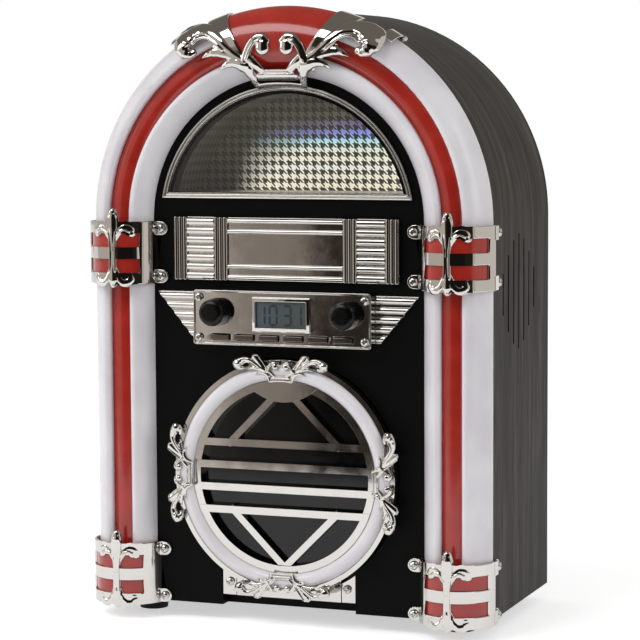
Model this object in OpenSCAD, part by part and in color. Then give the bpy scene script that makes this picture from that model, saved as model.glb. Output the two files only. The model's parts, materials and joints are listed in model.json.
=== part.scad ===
// Table-top jukebox with a tilting CD door, lit arch and chrome trim.
// +Z is up, the front faces -Y, and the origin is under the middle of the object on the floor.

/* [Cabinet] */
// Radius of the wooden arch, which is half the cabinet's width
cabinet_r = 137; // [134:0.5:142]
// Height of the arch's centre above the floor
arch_z = 267; // [264:0.5:275]
// Depth from the baffle's face to the back
cabinet_depth = 141; // [132:1:170]
// Thickness of the wooden wrap
wall_t = 9; // [7:0.5:10]
// How far the baffle stands out of the wooden wrap
baffle_proud = 6; // [4:0.5:7]
// Thickness of the front baffle
baffle_t = 9; // [8:0.5:11]
// Thickness of the base board
base_t = 9; // [8:0.5:9]
// Thickness of the rear cover
cover_t = 3; // [2.5:0.5:5]
// Diameter of a rubber foot
foot_d = 21; // [16:0.5:26]
// Height of a rubber foot
foot_h = 11; // [9:0.5:13]
// Sideways distance from the middle to a foot
foot_x = 110; // [95:1:114]
// Distance from the baffle's face to the front feet
foot_v = 27; // [22:1:40]
// Distance from the back to the rear feet
foot_rear = 21; // [16:1:40]
// Length of each sound slot, from the front one to the rear one
slot_lengths = [27, 50, 68, 76, 68, 50, 27];
// Width of a sound slot
slot_w = 2.5; // [1.5:0.1:4]
// Spacing of the sound slots
slot_pitch = 12; // [9:0.5:12]
// Height of the speakers and of the slots' middle
speaker_z = 219.6; // [205:0.2:225]
// Distance from the baffle's face to the speakers' middle
speaker_v = 69; // [64:1:80]

/* [Light tubes] */
// How far the outer tube overhangs the wooden wrap
tube_lip = 1.5; // [1:0.1:2.5]
// Width of the outer white tube
outer_tube_w = 16; // [14:0.1:17]
// Width of the red strip
strip_w = 14; // [12:0.1:16]
// Width of the inner white tube
inner_tube_w = 15.5; // [14:0.1:17]
// How far the white tubes stand out of the baffle
tube_rise = 14.5; // [12:0.1:15]
// How far the red strip stands out of the baffle
strip_rise = 9; // [7:0.1:11]
// How much lower the light frame is at its edges than at its middle
tube_bow = 19.6; // [17:0.1:20.4]
// Thickness of the tubes' plastic
tube_t = 2; // [1.2:0.1:2.5]
// Thickness of a red sleeve
sleeve_t = 1; // [0.8:0.1:1.2]
// Half of the angle that the crown sleeve covers
crown_half_angle = 18.5; // [17:0.5:20]

/* [Side brackets] */
// How far a bracket's straps stand out of the baffle at their middle
strap_rise = 20; // [19.5:0.1:22]
// How much lower a strap is at its edges than at its middle
strap_bow = 25; // [22:0.1:25.4]
// Thickness of the straps
strap_t = 1.5; // [1:0.1:1.8]
// Height of one strap
strap_h = 7.7; // [6:0.1:9]
// Spacing of the three straps
strap_pitch = 16.9; // [15:0.1:18]
// Spacing of a bracket's two screws on one side
bracket_screw_pitch = 31.8; // [28:0.1:34]
// Height of the upper brackets' middle
upper_bracket_z = 245.4; // [240:0.1:247]
// Height of the lower brackets' middle
lower_bracket_z = 30.6; // [29:0.1:45]
// Widest radius of the dagger ornament
dagger_r = 3.7; // [2.8:0.1:4]
// Height of the dagger ornament
dagger_h = 52; // [46:0.5:56]
// Distance from the baffle's face back to the screws on the cabinet's sides
side_screw_v = 13.3; // [12:0.1:18]

/* [Crest] */
// Sideways distance from the middle to the middle of a crest scroll
crest_reach = 60; // [58:0.5:62]
// How far the crest's screw tabs lie outside the scrolls' middles
crest_tab_out = 15.4; // [15:0.1:16]

/* [Screws] */
// Diameter of a trim screw's shank
screw_d = 3; // [2.5:0.1:3.5]
// Diameter of a trim screw's head
screw_head_d = 5.8; // [5.5:0.1:6.4]
// Height of a trim screw's head
screw_head_h = 2.6; // [1.8:0.1:2.8]
// Diameter of a screw tab
tab_d = 9; // [8.5:0.1:10]
// Thickness of a screw tab
tab_t = 2.4; // [1.8:0.1:3]

/* [Window] */
// Gap between the light tubes and the window's bezel
window_gap = 4.6; // [2:0.1:7]
// Width of the window's bezel
bezel_w = 3.8; // [2.5:0.1:5]
// How far the bezel stands out of the baffle
bezel_rise = 2.6; // [2:0.1:3]
// Thickness of the clear window
lens_t = 2; // [1.2:0.1:2]
// Height of the window's straight lower edge
window_z = 281.5; // [278:0.5:290]
// Depth of the foil-lined housing behind the baffle
housing_depth = 40; // [25:1:55]
// Thickness of the housing's plastic
housing_t = 1.5; // [1:0.1:2]

/* [Name plate] */
// Gap between the name plate and the brackets' screw tabs
plate_gap = 5; // [4:0.1:6]
// Height of the name plate
plate_h = 41.4; // [38:0.2:42]
// Height of the name plate's middle
plate_z = 248.5; // [247:0.1:252]
// How far the name plate stands out of the baffle
plate_rise = 4.4; // [3.5:0.1:6]
// Width of one of the name plate's fluted strips
flute_w = 9.4; // [8:0.1:10]
// Width of a ribbed field on the name plate
rib_field_w = 19.4; // [17:0.1:21]
// Number of ribs in a ribbed field
rib_count = 7; // [5:1:9]

/* [Control panel] */
// Width of the control panel
panel_w = 124; // [122:0.5:126]
// Height of the control panel
panel_h = 36; // [35:0.2:36.4]
// Height of the control panel's middle
panel_z = 203.9; // [202:0.1:206]
// How far the control panel stands out of the baffle
panel_rise = 9.8; // [9:0.1:10.2]
// Thickness of the control panel's plastic
panel_t = 2; // [1.6:0.1:2.2]
// Height of the panel's raised rim
rim_h = 0.8; // [0.4:0.1:1]
// Distance from the panel's edge to its screws
panel_screw_inset = 4.2; // [4:0.1:4.6]
// Diameter of the screws' heads on the panel
panel_head_d = 5.6; // [5:0.1:6]
// Width of the display's visible glass
display_w = 35; // [33:0.1:36]
// Height of the display's visible glass
display_h = 17; // [15:0.1:17.6]
// Height of the display's middle above the panel's middle
display_up = 2.6; // [2.2:0.1:3]
// Width of the raised frame around the display
display_frame_w = 2.6; // [2:0.1:2.8]
// Sideways distance from the middle to a knob
knob_x = 45.4; // [43:0.1:46.5]
// Height of the knobs above the panel's middle
knob_up = 3.6; // [3:0.1:4]
// Diameter of a knob
knob_d = 18.6; // [16:0.1:19]
// How far a knob stands out of the panel
knob_rise = 11.4; // [9:0.1:12]
// Diameter of a knob's shaft
shaft_d = 6; // [5:0.1:6]
// Width of a push button
button_w = 12.9; // [11:0.1:13.5]
// Height of a push button
button_h = 3.4; // [3:0.1:4]
// Spacing of the push buttons
button_pitch = 17.1; // [17:0.1:17.4]
// Height of the buttons below the panel's middle
button_down = 12.7; // [12.4:0.1:12.9]
// Travel of a push button
button_travel = 1.2; // [0.6:0.1:1.4]
// Number of ribs on a wing
wing_ribs = 5; // [4:1:5]
// Gap between a wing's tip and the light tube
wing_gap = 1.6; // [1:0.1:4]
// Length of a wing's lower edge
wing_end = 3.4; // [2:0.1:8]
// Spacing of a wing's ribs
wing_pitch = 6.2; // [5.6:0.1:6.6]

/* [CD door] */
// Inner radius of the door's ring
door_inner_r = 58.9; // [57:0.1:60]
// Height of the door's middle
door_z = 100.1; // [99:0.1:101]
// How far the door's ring stands out of the baffle
door_rise = 8; // [7:0.1:9]
// Width of the door's white ring
glow_w = 10.2; // [8:0.1:10.8]
// Width of the door's outer chrome band
outer_band_w = 3.1; // [2:0.1:4]
// Width of the door's inner chrome band
inner_band_w = 4.8; // [4:0.1:6]
// How far the white ring stands out of the chrome bands
glow_rise = 3.4; // [2:0.1:4]
// Height of one of the door's bars
bar_h = 4.8; // [3.5:0.1:6]
// Spacing of the door's bars
bar_pitch = 14.9; // [13:0.1:15.5]
// How much lower the bars' middle is than the door's
bar_drop = 1; // [0:0.1:2]
// Sideways distance from an ornament's middle to the middle of its scroll
ornament_reach = 27.8; // [26:0.2:28.4]
// Half width of the notch under the door
notch_half = 47; // [46:0.1:50]
// Half width of the door's lower plate
door_foot_half = 36.8; // [35:0.1:38]
// Height of the door's lower edge
door_foot_z = 18; // [17.5:0.1:18.5]
// Height of the hinge's axis
hinge_z = 22.4; // [22:0.1:23]
// Distance from the baffle's face back to the hinge's axis
hinge_v = 4; // [3.8:0.1:4.4]
// Diameter of a hinge pin
pin_d = 3; // [2.4:0.1:3.2]

/* [CD mechanism] */
// Radius of the CD bay, a little more than a disc's 60 mm
bay_r = 66; // [64:0.5:68]
// Depth of the bay behind the baffle
bay_depth = 8; // [7.5:0.1:10]
// Thickness of the bay's plastic
bay_t = 2; // [1.6:0.1:2.4]
// Radius of the hub's centring boss, which fits a disc's 15 mm hole
hub_boss_r = 7.4; // [7.3:0.05:7.45]
// Radius of the hub's flange
hub_r = 15; // [13:0.5:15.5]
// Travel of the laser sled
sled_travel = 33; // [28:0.5:34]
// Module of the feed pinion and of the sled's rack
rack_module = 0.8;
// Teeth on the feed pinion
feed_teeth = 12;
// Module of the feed wheel and of the motor's gear
wheel_module = 0.5;
// Teeth on the feed wheel
wheel_teeth = 44;
// Teeth on the sled motor's gear
motor_teeth = 10;

/* [Hidden] */
$fn = 96;

// Clearances
seat = 0.1;
running = 0.05;
free = 0.4;
knob_gap = 0.5;
past = 1;

// Depths are measured from the baffle's face: forwards is negative, backwards is positive.
base_z = foot_h;
inner_r = cabinet_r - wall_t;
shell_back = cabinet_depth - cover_t;

// Light tubes
frame_r = cabinet_r + tube_lip;
outer_tube_r = frame_r - outer_tube_w;
strip_r = outer_tube_r - strip_w;
frame_inner_r = strip_r - inner_tube_w;
frame_mid_r = (frame_r + frame_inner_r) / 2;
tube_half = (frame_r - frame_inner_r) / 2;
tube_round_r = (tube_half * tube_half + tube_bow * tube_bow) / (2 * tube_bow);
tube_corner_r = 3;
strip_bow = 2.2;
led_w = 3;
led_t = 0.8;

// Sleeves and straps wrap the tubes one over the other.
sleeve_r0 = frame_inner_r - seat - sleeve_t;
sleeve_r1 = frame_r + seat + sleeve_t;
sleeve_rise = strap_rise - strap_t - seat;
strap_r0 = sleeve_r0 - seat - strap_t;
strap_r1 = sleeve_r1 + seat + strap_t;
bracket_h = 2 * strap_pitch + strap_h;
inner_bar_w = 8.6;
flank_rise = 4;
flank_back = 3;
lug_back = 9;
bracket_screw_x = strap_r0 - tab_d / 4;
bracket_zs = [upper_bracket_z, lower_bracket_z];

// Dagger ornament, whose axis lies just behind the straps' crest
dagger_rise = strap_rise - 1.8;
strap_half = (strap_r1 - strap_r0) / 2;
strap_round_r = (strap_half * strap_half + strap_bow * strap_bow) / (2 * strap_bow);
curl_r = 3.1;
curl_wire_r = 1.9;
curl_x = 9.5;
curl_sink = 0.6;

// The object's middle lies halfway between its foremost point and its back.
front_reach = max(dagger_rise + dagger_r, panel_rise + knob_gap + knob_rise);
face_y = (front_reach - cabinet_depth) / 2;

// Screws
screw_length = 11;
csk_r = 3;
csk_h = 1.6;
rear_screw_length = 15;
rear_screw_r = cabinet_r - wall_t / 2;
rear_screw_angles = [18, 54, 90, 126, 162];
rear_screw_zs = [60, 165];

// Crest, whose scrollwork is drawn at full size with its scrolls' middles at scroll_x
scroll_x = 60;
crest_size = crest_reach / scroll_x;
crest_angle = asin((crest_reach + crest_tab_out) / frame_r);
crest_tab_w = 9;
crest_relief = 0.45;
crest_rise = 18.6;
crest_lean = 0.8;
crest_base_up = strap_r0 - 0.3;
crest_strap = [[14, 9], [24, 9], [57, 41], [38, 48]];
crown_outline = [[-13.5, -1], [13.5, -1], [18, 9], [46, 52], [-46, 52], [-18, 9]];

// Window
window_r = frame_inner_r - window_gap;
lens_r = window_r - bezel_w;
opening_r = lens_r - 2;
housing_flange = 3;

// Name plate
plate_w = 2 * (bracket_screw_x - tab_d / 2 - plate_gap);
plate_back_t = 1.6;

// Control panel
panel_screw_x = panel_w / 2 - panel_screw_inset;
panel_screw_up = panel_h / 2 - panel_screw_inset - 0.6;
panel_screw_length = 18;
panel_boss_r = 3.4;
panel_corner_r = 2;
display_frame_rise = 1.6;
panel_opening_w = panel_w - 20;
panel_opening_h = panel_h - 3;
board_t = 1.6;
board_v = 1;
board_w = panel_opening_w - 2;
board_h = panel_opening_h - 1;
post_x = 29;
post_r = 2.5;
bushing_r = shaft_d / 2 + 1.2;
control_size = 12.5;
control_front = -5;
knob_back = -panel_rise - knob_gap;
knob_front = knob_back - knob_rise;
display_back = -panel_rise + panel_t + 3.4;
display_step = 0.5;
flange_w = 1.1;
flange_t = 1.2;
button_rise = 2;
switch_h = 1.6;
switch_size = 5;
wing_x = panel_w / 2 + seat;
wing_length = frame_inner_r - wing_gap - wing_x;
wing_step = (wing_length - wing_end) / wing_ribs;
wing_rise = 2.7;
wing_back_t = 1.2;
wing_rib_r = 2.3;

// CD door
door_gap = 0.6;
door_back = 3;
glow_r0 = door_inner_r + inner_band_w;
glow_r1 = glow_r0 + glow_w;
door_r = glow_r1 + outer_band_w;
glow_floor = -2;
rebate_v = -1.6;
rebate_w = 2.2;
pane_t = 2;
bar_front = -door_rise - 0.4;
bar_back = rebate_v;
strut_w = 4.4;
strut_front = -door_rise + 1.2;
tab_r = 34;
door_tab_depth = 9.6;
barrel_r = 3.2;
barrel_length = 8;
pin_length = 15;
hook_w = 5;
hook_h = 2.6;
hook_up = bay_r + 5.5;
hook_back = 15;
latch_w = 16;
latch_h = 9.5;
latch_depth = 13;
hook_room = 1.1;
ornament_scale = ornament_reach / scroll_x;
ornament_base = door_r - 12.8;
ornament_relief = 0.45;
ornament_lift = 0.35;
hinge_screw_x = notch_half - 5.6;
hinge_screw_z = hinge_z + 4.6;

// CD mechanism
bay_flange_r = 80;
bay_floor = baffle_t + bay_depth;
bay_back = bay_floor + bay_t;
disc_v = bay_floor - 4.4;
hub_flange_t = 2.2;
hub_boss_h = 3.4;
spindle_r = 1;
deck_v = bay_back + 9;
deck_t = 2;
motor_r = 11;
rod_r = 1.5;
rod_up = 17;
rod_v = bay_back + 4;
rod_x0 = 8;
sled_x0 = 13;
sled_w = 28;
sled_half = 21.5;
sled_front = bay_back + 0.7;
sled_back = deck_v - 0.9;
eye_r = 4;
rack_h = 2;
feed_r = rack_module * feed_teeth / 2;
wheel_r = wheel_module * wheel_teeth / 2;
gear_r = wheel_module * motor_teeth / 2;
rack_pitch_z = -sled_half - rack_h - rack_module;
feed_z = rack_pitch_z - feed_r;
feed_x = sled_x0 + sled_travel + 4;
rod_x1 = sled_x0 + sled_w + sled_travel + 3;
motor_angle = 216;
sled_motor_x = feed_x + (wheel_r + gear_r) * cos(motor_angle);
sled_motor_z = feed_z + (wheel_r + gear_r) * sin(motor_angle);
sled_motor_r = 7;
sled_motor_shaft_r = 0.9;
gear_v = deck_v + deck_t + 0.5;
gear_t = 2.2;
feed_front = rod_v - 2;
feed_back = rod_v + 2;
feed_shaft_r = 1.4;
tooth_play = 0.3;
deck_x0 = -34;
deck_x1 = rod_x1 + 5;
deck_top = 31;
deck_bottom = sled_motor_z - sled_motor_r - 3;
post_places = [[-28, -40], [-28, 26], [46, 26], [22, -40]];
deck_post_r = 4;

// Speakers
speaker_r = 41;
speaker_frame_t = 1.6;
speaker_depth = 34;
cone_r = 35;
magnet_r = 21;
magnet_t = 12;
speaker_wall = 1.4;

// Boards and sockets
main_board_w = 120;
main_board_l = 66;
main_board_v = 55;
standoff_h = 6;
inlet_x = -72;
line_x = -42;
socket_z = 52;
inlet_r = 3.2;
inlet_pin_r = 1;
inlet_body = [12, 13, 11];
line_r = 1.8;
line_body = [9, 14, 9];
socket_collar_r = 5;
vent_count = 9;

// A front-view outline, extruded from depth v0 back to depth v1
module slab(v0, v1) {
    translate([0, v1, 0])
        rotate([90, 0, 0])
            linear_extrude(v1 - v0)
                children();
}

// A cylinder along the depth, from v0 back to v1, at a place in the front view
module rod(r, v0, v1, x = 0, z = 0) {
    translate([x, v1, z])
        rotate([90, 0, 0])
            cylinder(r = r, h = v1 - v0);
}

// A box given by its two corners in width, depth and height
module box(low, high) {
    translate(low)
        cube(high - low);
}

// The same piece on both sides of the middle
module pair() {
    children();
    mirror([1, 0, 0]) children();
}

module half_disc(r) {
    intersection() {
        circle(r);
        translate([-2 * r, 0])
            square([4 * r, 2 * r]);
    }
}

// Front-view arch: straight legs from height z0, and a half circle on top
module arch(r, z0) {
    translate([0, arch_z])
        half_disc(r);
    translate([-r, z0])
        square([2 * r, arch_z - z0]);
}

// Front-view half moon over the window's straight edge
module half_moon(r, z0) {
    intersection() {
        translate([0, arch_z])
            circle(r);
        translate([-2 * r, z0])
            square([4 * r, 2 * r]);
    }
}

// A section in radius and rise, turned round the arch between two angles
module round_arch(from, to) {
    translate([0, 0, arch_z])
        rotate([90, 0, 0])
            rotate([0, 0, from])
                rotate_extrude(angle = to - from)
                    children();
}

// A section in radius and rise, run up the right leg between two heights
module up_leg(z0, z1) {
    translate([0, 0, z0])
        linear_extrude(z1 - z0)
            mirror([0, 1])
                children();
}

// A section in radius and rise, run up both legs and over the arch
module along_arch(z0) {
    round_arch(0, 180)
        children();
    pair()
        up_leg(z0, arch_z)
            children();
}

// A section in radius and rise, turned round the door's axis
module round_door() {
    translate([0, 0, door_z])
        rotate([90, 0, 0])
            rotate_extrude()
                children();
}

// Section of a straight-sided tube with a half-round top
module domed(r0, r1, rise) {
    w = r1 - r0;
    translate([r0, 0])
        square([w, rise - w / 2]);
    translate([(r0 + r1) / 2, rise - w / 2])
        half_disc(w / 2);
}

// Section of a bowed cover: straight sides and a shallow arc across the front
module bowed(r0, r1, rise, bow, back) {
    half = (r1 - r0) / 2;
    bow_r = (half * half + bow * bow) / (2 * bow);
    intersection() {
        translate([(r0 + r1) / 2, rise - bow_r])
            circle(bow_r);
        translate([r0, -back])
            square([r1 - r0, rise + back + past]);
    }
}

// Outline of a light tube about the frame's middle: the frame's round, with a filleted wall at the red strip
// and a skirt at the outside that reaches back by a length
module tube_outline(wall, inset, back) {
    round_r = tube_round_r - inset;
    corner_r = tube_corner_r - inset / 2;
    low = tube_rise - tube_round_r;
    reach = wall + inset + corner_r;
    up = low + sqrt((round_r - corner_r) * (round_r - corner_r) - reach * reach);
    touch = round_r * reach / (round_r - corner_r);
    intersection() {
        translate([0, low])
            circle(round_r);
        union() {
            translate([reach, up])
                circle(corner_r);
            translate([wall + inset, -inset])
                square([touch - wall - inset + past, up + inset]);
            translate([touch, -inset])
                square([tube_half - inset - touch, tube_rise + inset]);
            translate([tube_half - 3 * tube_t - inset, -back - inset])
                square([3 * tube_t, back + inset + tube_t]);
        }
    }
}

module tube_section(wall, back) {
    difference() {
        tube_outline(wall, 0, back);
        tube_outline(wall, tube_t, back);
    }
}

module sleeve_section() {
    difference() {
        bowed(sleeve_r0, sleeve_r1, sleeve_rise, strap_bow, 0);
        translate([0, -past])
            bowed(sleeve_r0 + sleeve_t, sleeve_r1 - sleeve_t, sleeve_rise - sleeve_t + past, strap_bow, 0);
    }
}

// Section of a strap, carried on behind the baffle's face by a length
module strap_section(back = 0) {
    difference() {
        bowed(strap_r0, strap_r1, strap_rise, strap_bow, back);
        translate([0, -past])
            bowed(strap_r0 + strap_t, strap_r1 - strap_t, strap_rise - strap_t + past, strap_bow, back);
    }
}

// Pan-head screw with a cross recess, its head's seat at the origin and its head along +Z
module pan_screw(head_d, length) {
    difference() {
        union() {
            cylinder(d = head_d, h = screw_head_h * 0.4);
            translate([0, 0, screw_head_h * 0.4])
                cylinder(d1 = head_d, d2 = head_d * 0.8, h = screw_head_h * 0.35);
            translate([0, 0, screw_head_h * 0.75])
                cylinder(d1 = head_d * 0.8, d2 = head_d * 0.4, h = screw_head_h * 0.25);
            translate([0, 0, -length])
                cylinder(d = screw_d, h = length);
        }
        for (turn = [0, 90])
            rotate([0, 0, turn])
                translate([-head_d * 0.28, -head_d * 0.07, screw_head_h * 0.5])
                    cube([head_d * 0.56, head_d * 0.14, screw_head_h]);
    }
}

// Places its children on a screw's seat in the front view, facing forwards
module facing_front(x, v, z) {
    translate([x, v, z])
        rotate([90, 0, 0])
            children();
}

// Places its children on the cabinet's right side, facing outwards
module facing_side(x, v, z) {
    translate([x, v, z])
        rotate([0, 90, 0])
            children();
}

// Places its children on the arch's outside at an angle from the top, facing outwards
module facing_crown(angle, r, v) {
    translate([0, v, arch_z])
        rotate([0, angle, 0])
            translate([0, 0, r])
                children();
}

module cabinet_shell() color("#3b3733") {
    difference() {
        slab(baffle_proud, shell_back)
            difference() {
                arch(cabinet_r, base_z);
                arch(inner_r, base_z - past);
            }
        for (i = [0 : len(slot_lengths) - 1])
            pair()
                translate([inner_r - past, speaker_v + (i - 3) * slot_pitch - slot_w / 2,
                           speaker_z - slot_lengths[i] / 2])
                    cube([wall_t + 2 * past, slot_w, slot_lengths[i]]);
        for (z = bracket_zs, s = [-0.5, 0.5])
            pair()
                facing_side(cabinet_r, side_screw_v, z + s * bracket_screw_pitch)
                    pilot(screw_length);
        pair()
            facing_crown(crest_angle, cabinet_r, side_screw_v)
                pilot(screw_length);
        rear_screw_places()
            translate([0, 0, -rear_screw_length - past])
                cylinder(d = screw_d + 2 * running, h = rear_screw_length + 2 * past);
    }
}

// A hole for a screw that enters along -Z
module pilot(length) {
    translate([0, 0, -length])
        cylinder(d = screw_d + 2 * running, h = length + past);
}

module rear_screw_places() {
    for (a = rear_screw_angles)
        translate([rear_screw_r * cos(a), cabinet_depth, arch_z + rear_screw_r * sin(a)])
            rotate([-90, 0, 0])
                children();
    for (z = rear_screw_zs, side = [-1, 1])
        translate([side * rear_screw_r, cabinet_depth, z])
            rotate([-90, 0, 0])
                children();
}

module base_board() color("#161413") {
    box([-inner_r + seat, baffle_t + seat, base_z],
        [inner_r - seat, shell_back, base_z + base_t]);
}

module rubber_feet() color("#1a1a1a") {
    for (v = [foot_v, cabinet_depth - foot_rear])
        pair()
            translate([foot_x, v, 0])
                cylinder(d1 = foot_d - 2, d2 = foot_d, h = foot_h);
}

module front_baffle() color("#0c0b0b") {
    difference() {
        slab(0, baffle_t)
            difference() {
                arch(inner_r - seat, base_z);
                half_moon(opening_r, window_z + bezel_w);
                translate([-panel_opening_w / 2, panel_z - panel_opening_h / 2])
                    square([panel_opening_w, panel_opening_h]);
                translate([0, door_z])
                    circle(door_r + door_gap);
                translate([-notch_half, base_z - past])
                    square([2 * notch_half, door_z - base_z]);
            }
        for (z = bracket_zs, s = [-0.5, 0.5])
            pair()
                facing_front(bracket_screw_x, 0, z + s * bracket_screw_pitch)
                    pilot(screw_length);
        panel_screw_places(0)
            pilot(panel_screw_length);
    }
}

module rear_cover() color("#171514") {
    difference() {
        slab(shell_back, cabinet_depth)
            difference() {
                arch(cabinet_r, base_z);
                for (i = [0 : vent_count - 1])
                    translate([-45, 120 + 9 * i])
                        square([90, 3]);
            }
        rear_screw_places() {
            translate([0, 0, -csk_h])
                cylinder(r1 = screw_d / 2 + running, r2 = csk_r + running, h = csk_h);
            translate([0, 0, -cover_t - past])
                cylinder(d = screw_d + 2 * running, h = cover_t + past);
        }
        for (x = [inlet_x, line_x])
            rod(socket_collar_r + running, shell_back - past, cabinet_depth + past, x, socket_z);
    }
}

module rear_cover_screws() color("#2a2a2a") {
    rear_screw_places()
        difference() {
            union() {
                translate([0, 0, -csk_h])
                    cylinder(r1 = screw_d / 2, r2 = csk_r, h = csk_h);
                translate([0, 0, -rear_screw_length])
                    cylinder(d = screw_d, h = rear_screw_length - csk_h);
            }
            for (turn = [0, 90])
                rotate([0, 0, turn])
                    translate([-csk_r / 2, -0.4, -csk_h * 0.7])
                        cube([csk_r, 0.8, csk_h]);
        }
}

module outer_light_tube() color("#dcd9de") {
    along_arch(base_z)
        translate([frame_mid_r, 0])
            tube_section(outer_tube_r - frame_mid_r, baffle_proud);
}

module inner_light_tube() color("#dcd9de") {
    along_arch(base_z)
        translate([frame_mid_r, 0])
            mirror([1, 0])
                tube_section(frame_mid_r - strip_r, 0);
}

module red_light_strip() color("#a8261d") {
    along_arch(base_z)
        difference() {
            bowed(strip_r + seat, outer_tube_r - seat, strip_rise, strip_bow, 0);
            translate([0, -past])
                bowed(strip_r + seat + tube_t, outer_tube_r - seat - tube_t, strip_rise - tube_t + past,
                      strip_bow, 0);
        }
}

module led_strip(r) {
    color("#f3f0e4")
        along_arch(base_z + 2)
            translate([r - led_w / 2, 0])
                square([led_w, led_t]);
}

module outer_led_strip() {
    led_strip(inner_r - seat - led_w / 2);
}

module inner_led_strip() {
    led_strip((frame_inner_r + strip_r) / 2);
}

module crown_sleeve() color("#b0271d") {
    intersection() {
        round_arch(90 - crown_half_angle, 90 + crown_half_angle)
            sleeve_section();
        slab(-strap_rise, past)
            translate([0, arch_z + crest_base_up])
                scale([crest_size, crest_size])
                    polygon(crown_outline);
    }
}

module bracket_sleeves() color("#b0271d") {
    for (z = bracket_zs)
        pair()
            up_leg(max(base_z, z - bracket_h / 2 + past), z + bracket_h / 2 - past)
                sleeve_section();
}

// One curl beside the dagger: a bent wire that ends in a ball, half sunk in the round of the straps
module curl(z, from, to) {
    translate([frame_mid_r, strap_round_r - strap_rise, z])
        rotate([0, 0, curl_x / strap_round_r * 180 / PI])
            translate([0, curl_sink - strap_round_r, 0])
                rotate([90, 0, 0]) {
                    rotate([0, 0, min(from, to)])
                        rotate_extrude(angle = abs(to - from))
                            translate([curl_r, 0])
                                circle(curl_wire_r);
                    translate([curl_r * cos(to), curl_r * sin(to), 0])
                        sphere(curl_wire_r * 1.2);
                }
}

// Dagger ornament: a turned stem with a long bulb at each end
module dagger() {
    top = dagger_h * 0.57;
    low = -dagger_h * 0.43;
    waist = dagger_r * 0.65;
    translate([frame_mid_r, -dagger_rise, 0])
        rotate_extrude()
            polygon([
                [0, low], [dagger_r * 0.5, low], [dagger_r * 0.9, low + 2], [dagger_r, low + 5],
                [dagger_r * 0.8, low + 11], [waist, low + 17], [waist, low + 28], [dagger_r * 0.8, top - 15],
                [dagger_r, top - 7], [dagger_r * 0.95, top - 4], [dagger_r * 0.7, top - 1.5],
                [dagger_r * 0.3, top], [0, top]
            ]);
}

// Right-hand bracket, with its middle at height z
module bracket(z) {
    half = bracket_h / 2;
    color("silver")
        translate([0, 0, z])
            difference() {
                union() {
                    for (i = [-1, 0, 1])
                        up_leg(i * strap_pitch - strap_h / 2, i * strap_pitch + strap_h / 2)
                            strap_section();
                    up_leg(-half, half)
                        intersection() {
                            strap_section();
                            translate([strap_r0 - past, 0])
                                square([inner_bar_w + past, strap_rise]);
                        }
                    up_leg(-half, half)
                        intersection() {
                            strap_section(flank_back);
                            translate([frame_mid_r, -flank_back])
                                square([strap_half + past, flank_back + flank_rise]);
                        }
                    for (s = [-0.5, 0.5])
                        translate([0, 0, s * bracket_screw_pitch]) {
                            rod(tab_d / 2, -tab_t, 0, bracket_screw_x, 0);
                            box([bracket_screw_x, -tab_t, -tab_d / 2], [strap_r0 + 2 * past, 0, tab_d / 2]);
                            facing_side(cabinet_r, side_screw_v, 0)
                                cylinder(d = tab_d, h = tab_t);
                            box([sleeve_r1 + seat, flank_back - past, -tab_d / 2],
                                [strap_r1, lug_back, tab_d / 2]);
                            box([cabinet_r, baffle_proud, -tab_d / 2], [strap_r1, lug_back, tab_d / 2]);
                            box([cabinet_r, baffle_proud, -tab_d / 2],
                                [cabinet_r + tab_t, side_screw_v, tab_d / 2]);
                        }
                    difference() {
                        union() {
                            dagger();
                            for (side = [0, 1])
                                translate([side * 2 * frame_mid_r, 0, 0])
                                    mirror([side, 0, 0]) {
                                        curl(strap_pitch - 0.5, 195, -60);
                                        curl(-strap_pitch, 175, 395);
                                    }
                        }
                        up_leg(-dagger_h, dagger_h)
                            bowed(sleeve_r0, sleeve_r1, sleeve_rise + 4 * seat, strap_bow, 0);
                    }
                }
                for (s = [-0.5, 0.5]) {
                    facing_front(bracket_screw_x, 0, s * bracket_screw_pitch)
                        translate([0, 0, -past])
                            cylinder(d = screw_d + 2 * running, h = tab_t + 2 * past);
                    facing_side(cabinet_r - past, side_screw_v, s * bracket_screw_pitch)
                        cylinder(d = screw_d + 2 * running, h = tab_t + 2 * past);
                }
            }
}

module upper_right_bracket() bracket(upper_bracket_z);
module lower_right_bracket() bracket(lower_bracket_z);
module upper_left_bracket() mirror([1, 0, 0]) bracket(upper_bracket_z);
module lower_left_bracket() mirror([1, 0, 0]) bracket(lower_bracket_z);

module trim_screws() color("#c9c9c9") {
    for (z = bracket_zs, s = [-0.5, 0.5])
        pair() {
            facing_front(bracket_screw_x, -tab_t, z + s * bracket_screw_pitch)
                pan_screw(screw_head_d, screw_length);
            facing_side(cabinet_r + tab_t, side_screw_v, z + s * bracket_screw_pitch)
                pan_screw(screw_head_d, screw_length);
        }
    pair()
        facing_crown(crest_angle, cabinet_r + tab_t, side_screw_v)
            pan_screw(screw_head_d, screw_length);
    pair()
        facing_front(hinge_screw_x, 0, hinge_screw_z)
            pan_screw(screw_head_d, screw_length);
}

// A bead of the scrollwork, flattened in depth, and set back near the foot by the lean
module bead(p, rise, relief, lean, faces) {
    translate([p[0], lean * max(0, leaning_up - p[1]) - rise, p[1]])
        scale([1, relief, 1])
            sphere(p[2], $fn = faces);
}

// Scrollwork strand through [x, up, radius] points
module strand(points, rise, relief, lean, faces) {
    for (i = [0 : len(points) - 2])
        hull() {
            bead(points[i], rise, relief, lean, faces);
            bead(points[i + 1], rise, relief, lean, faces);
        }
}

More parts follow.
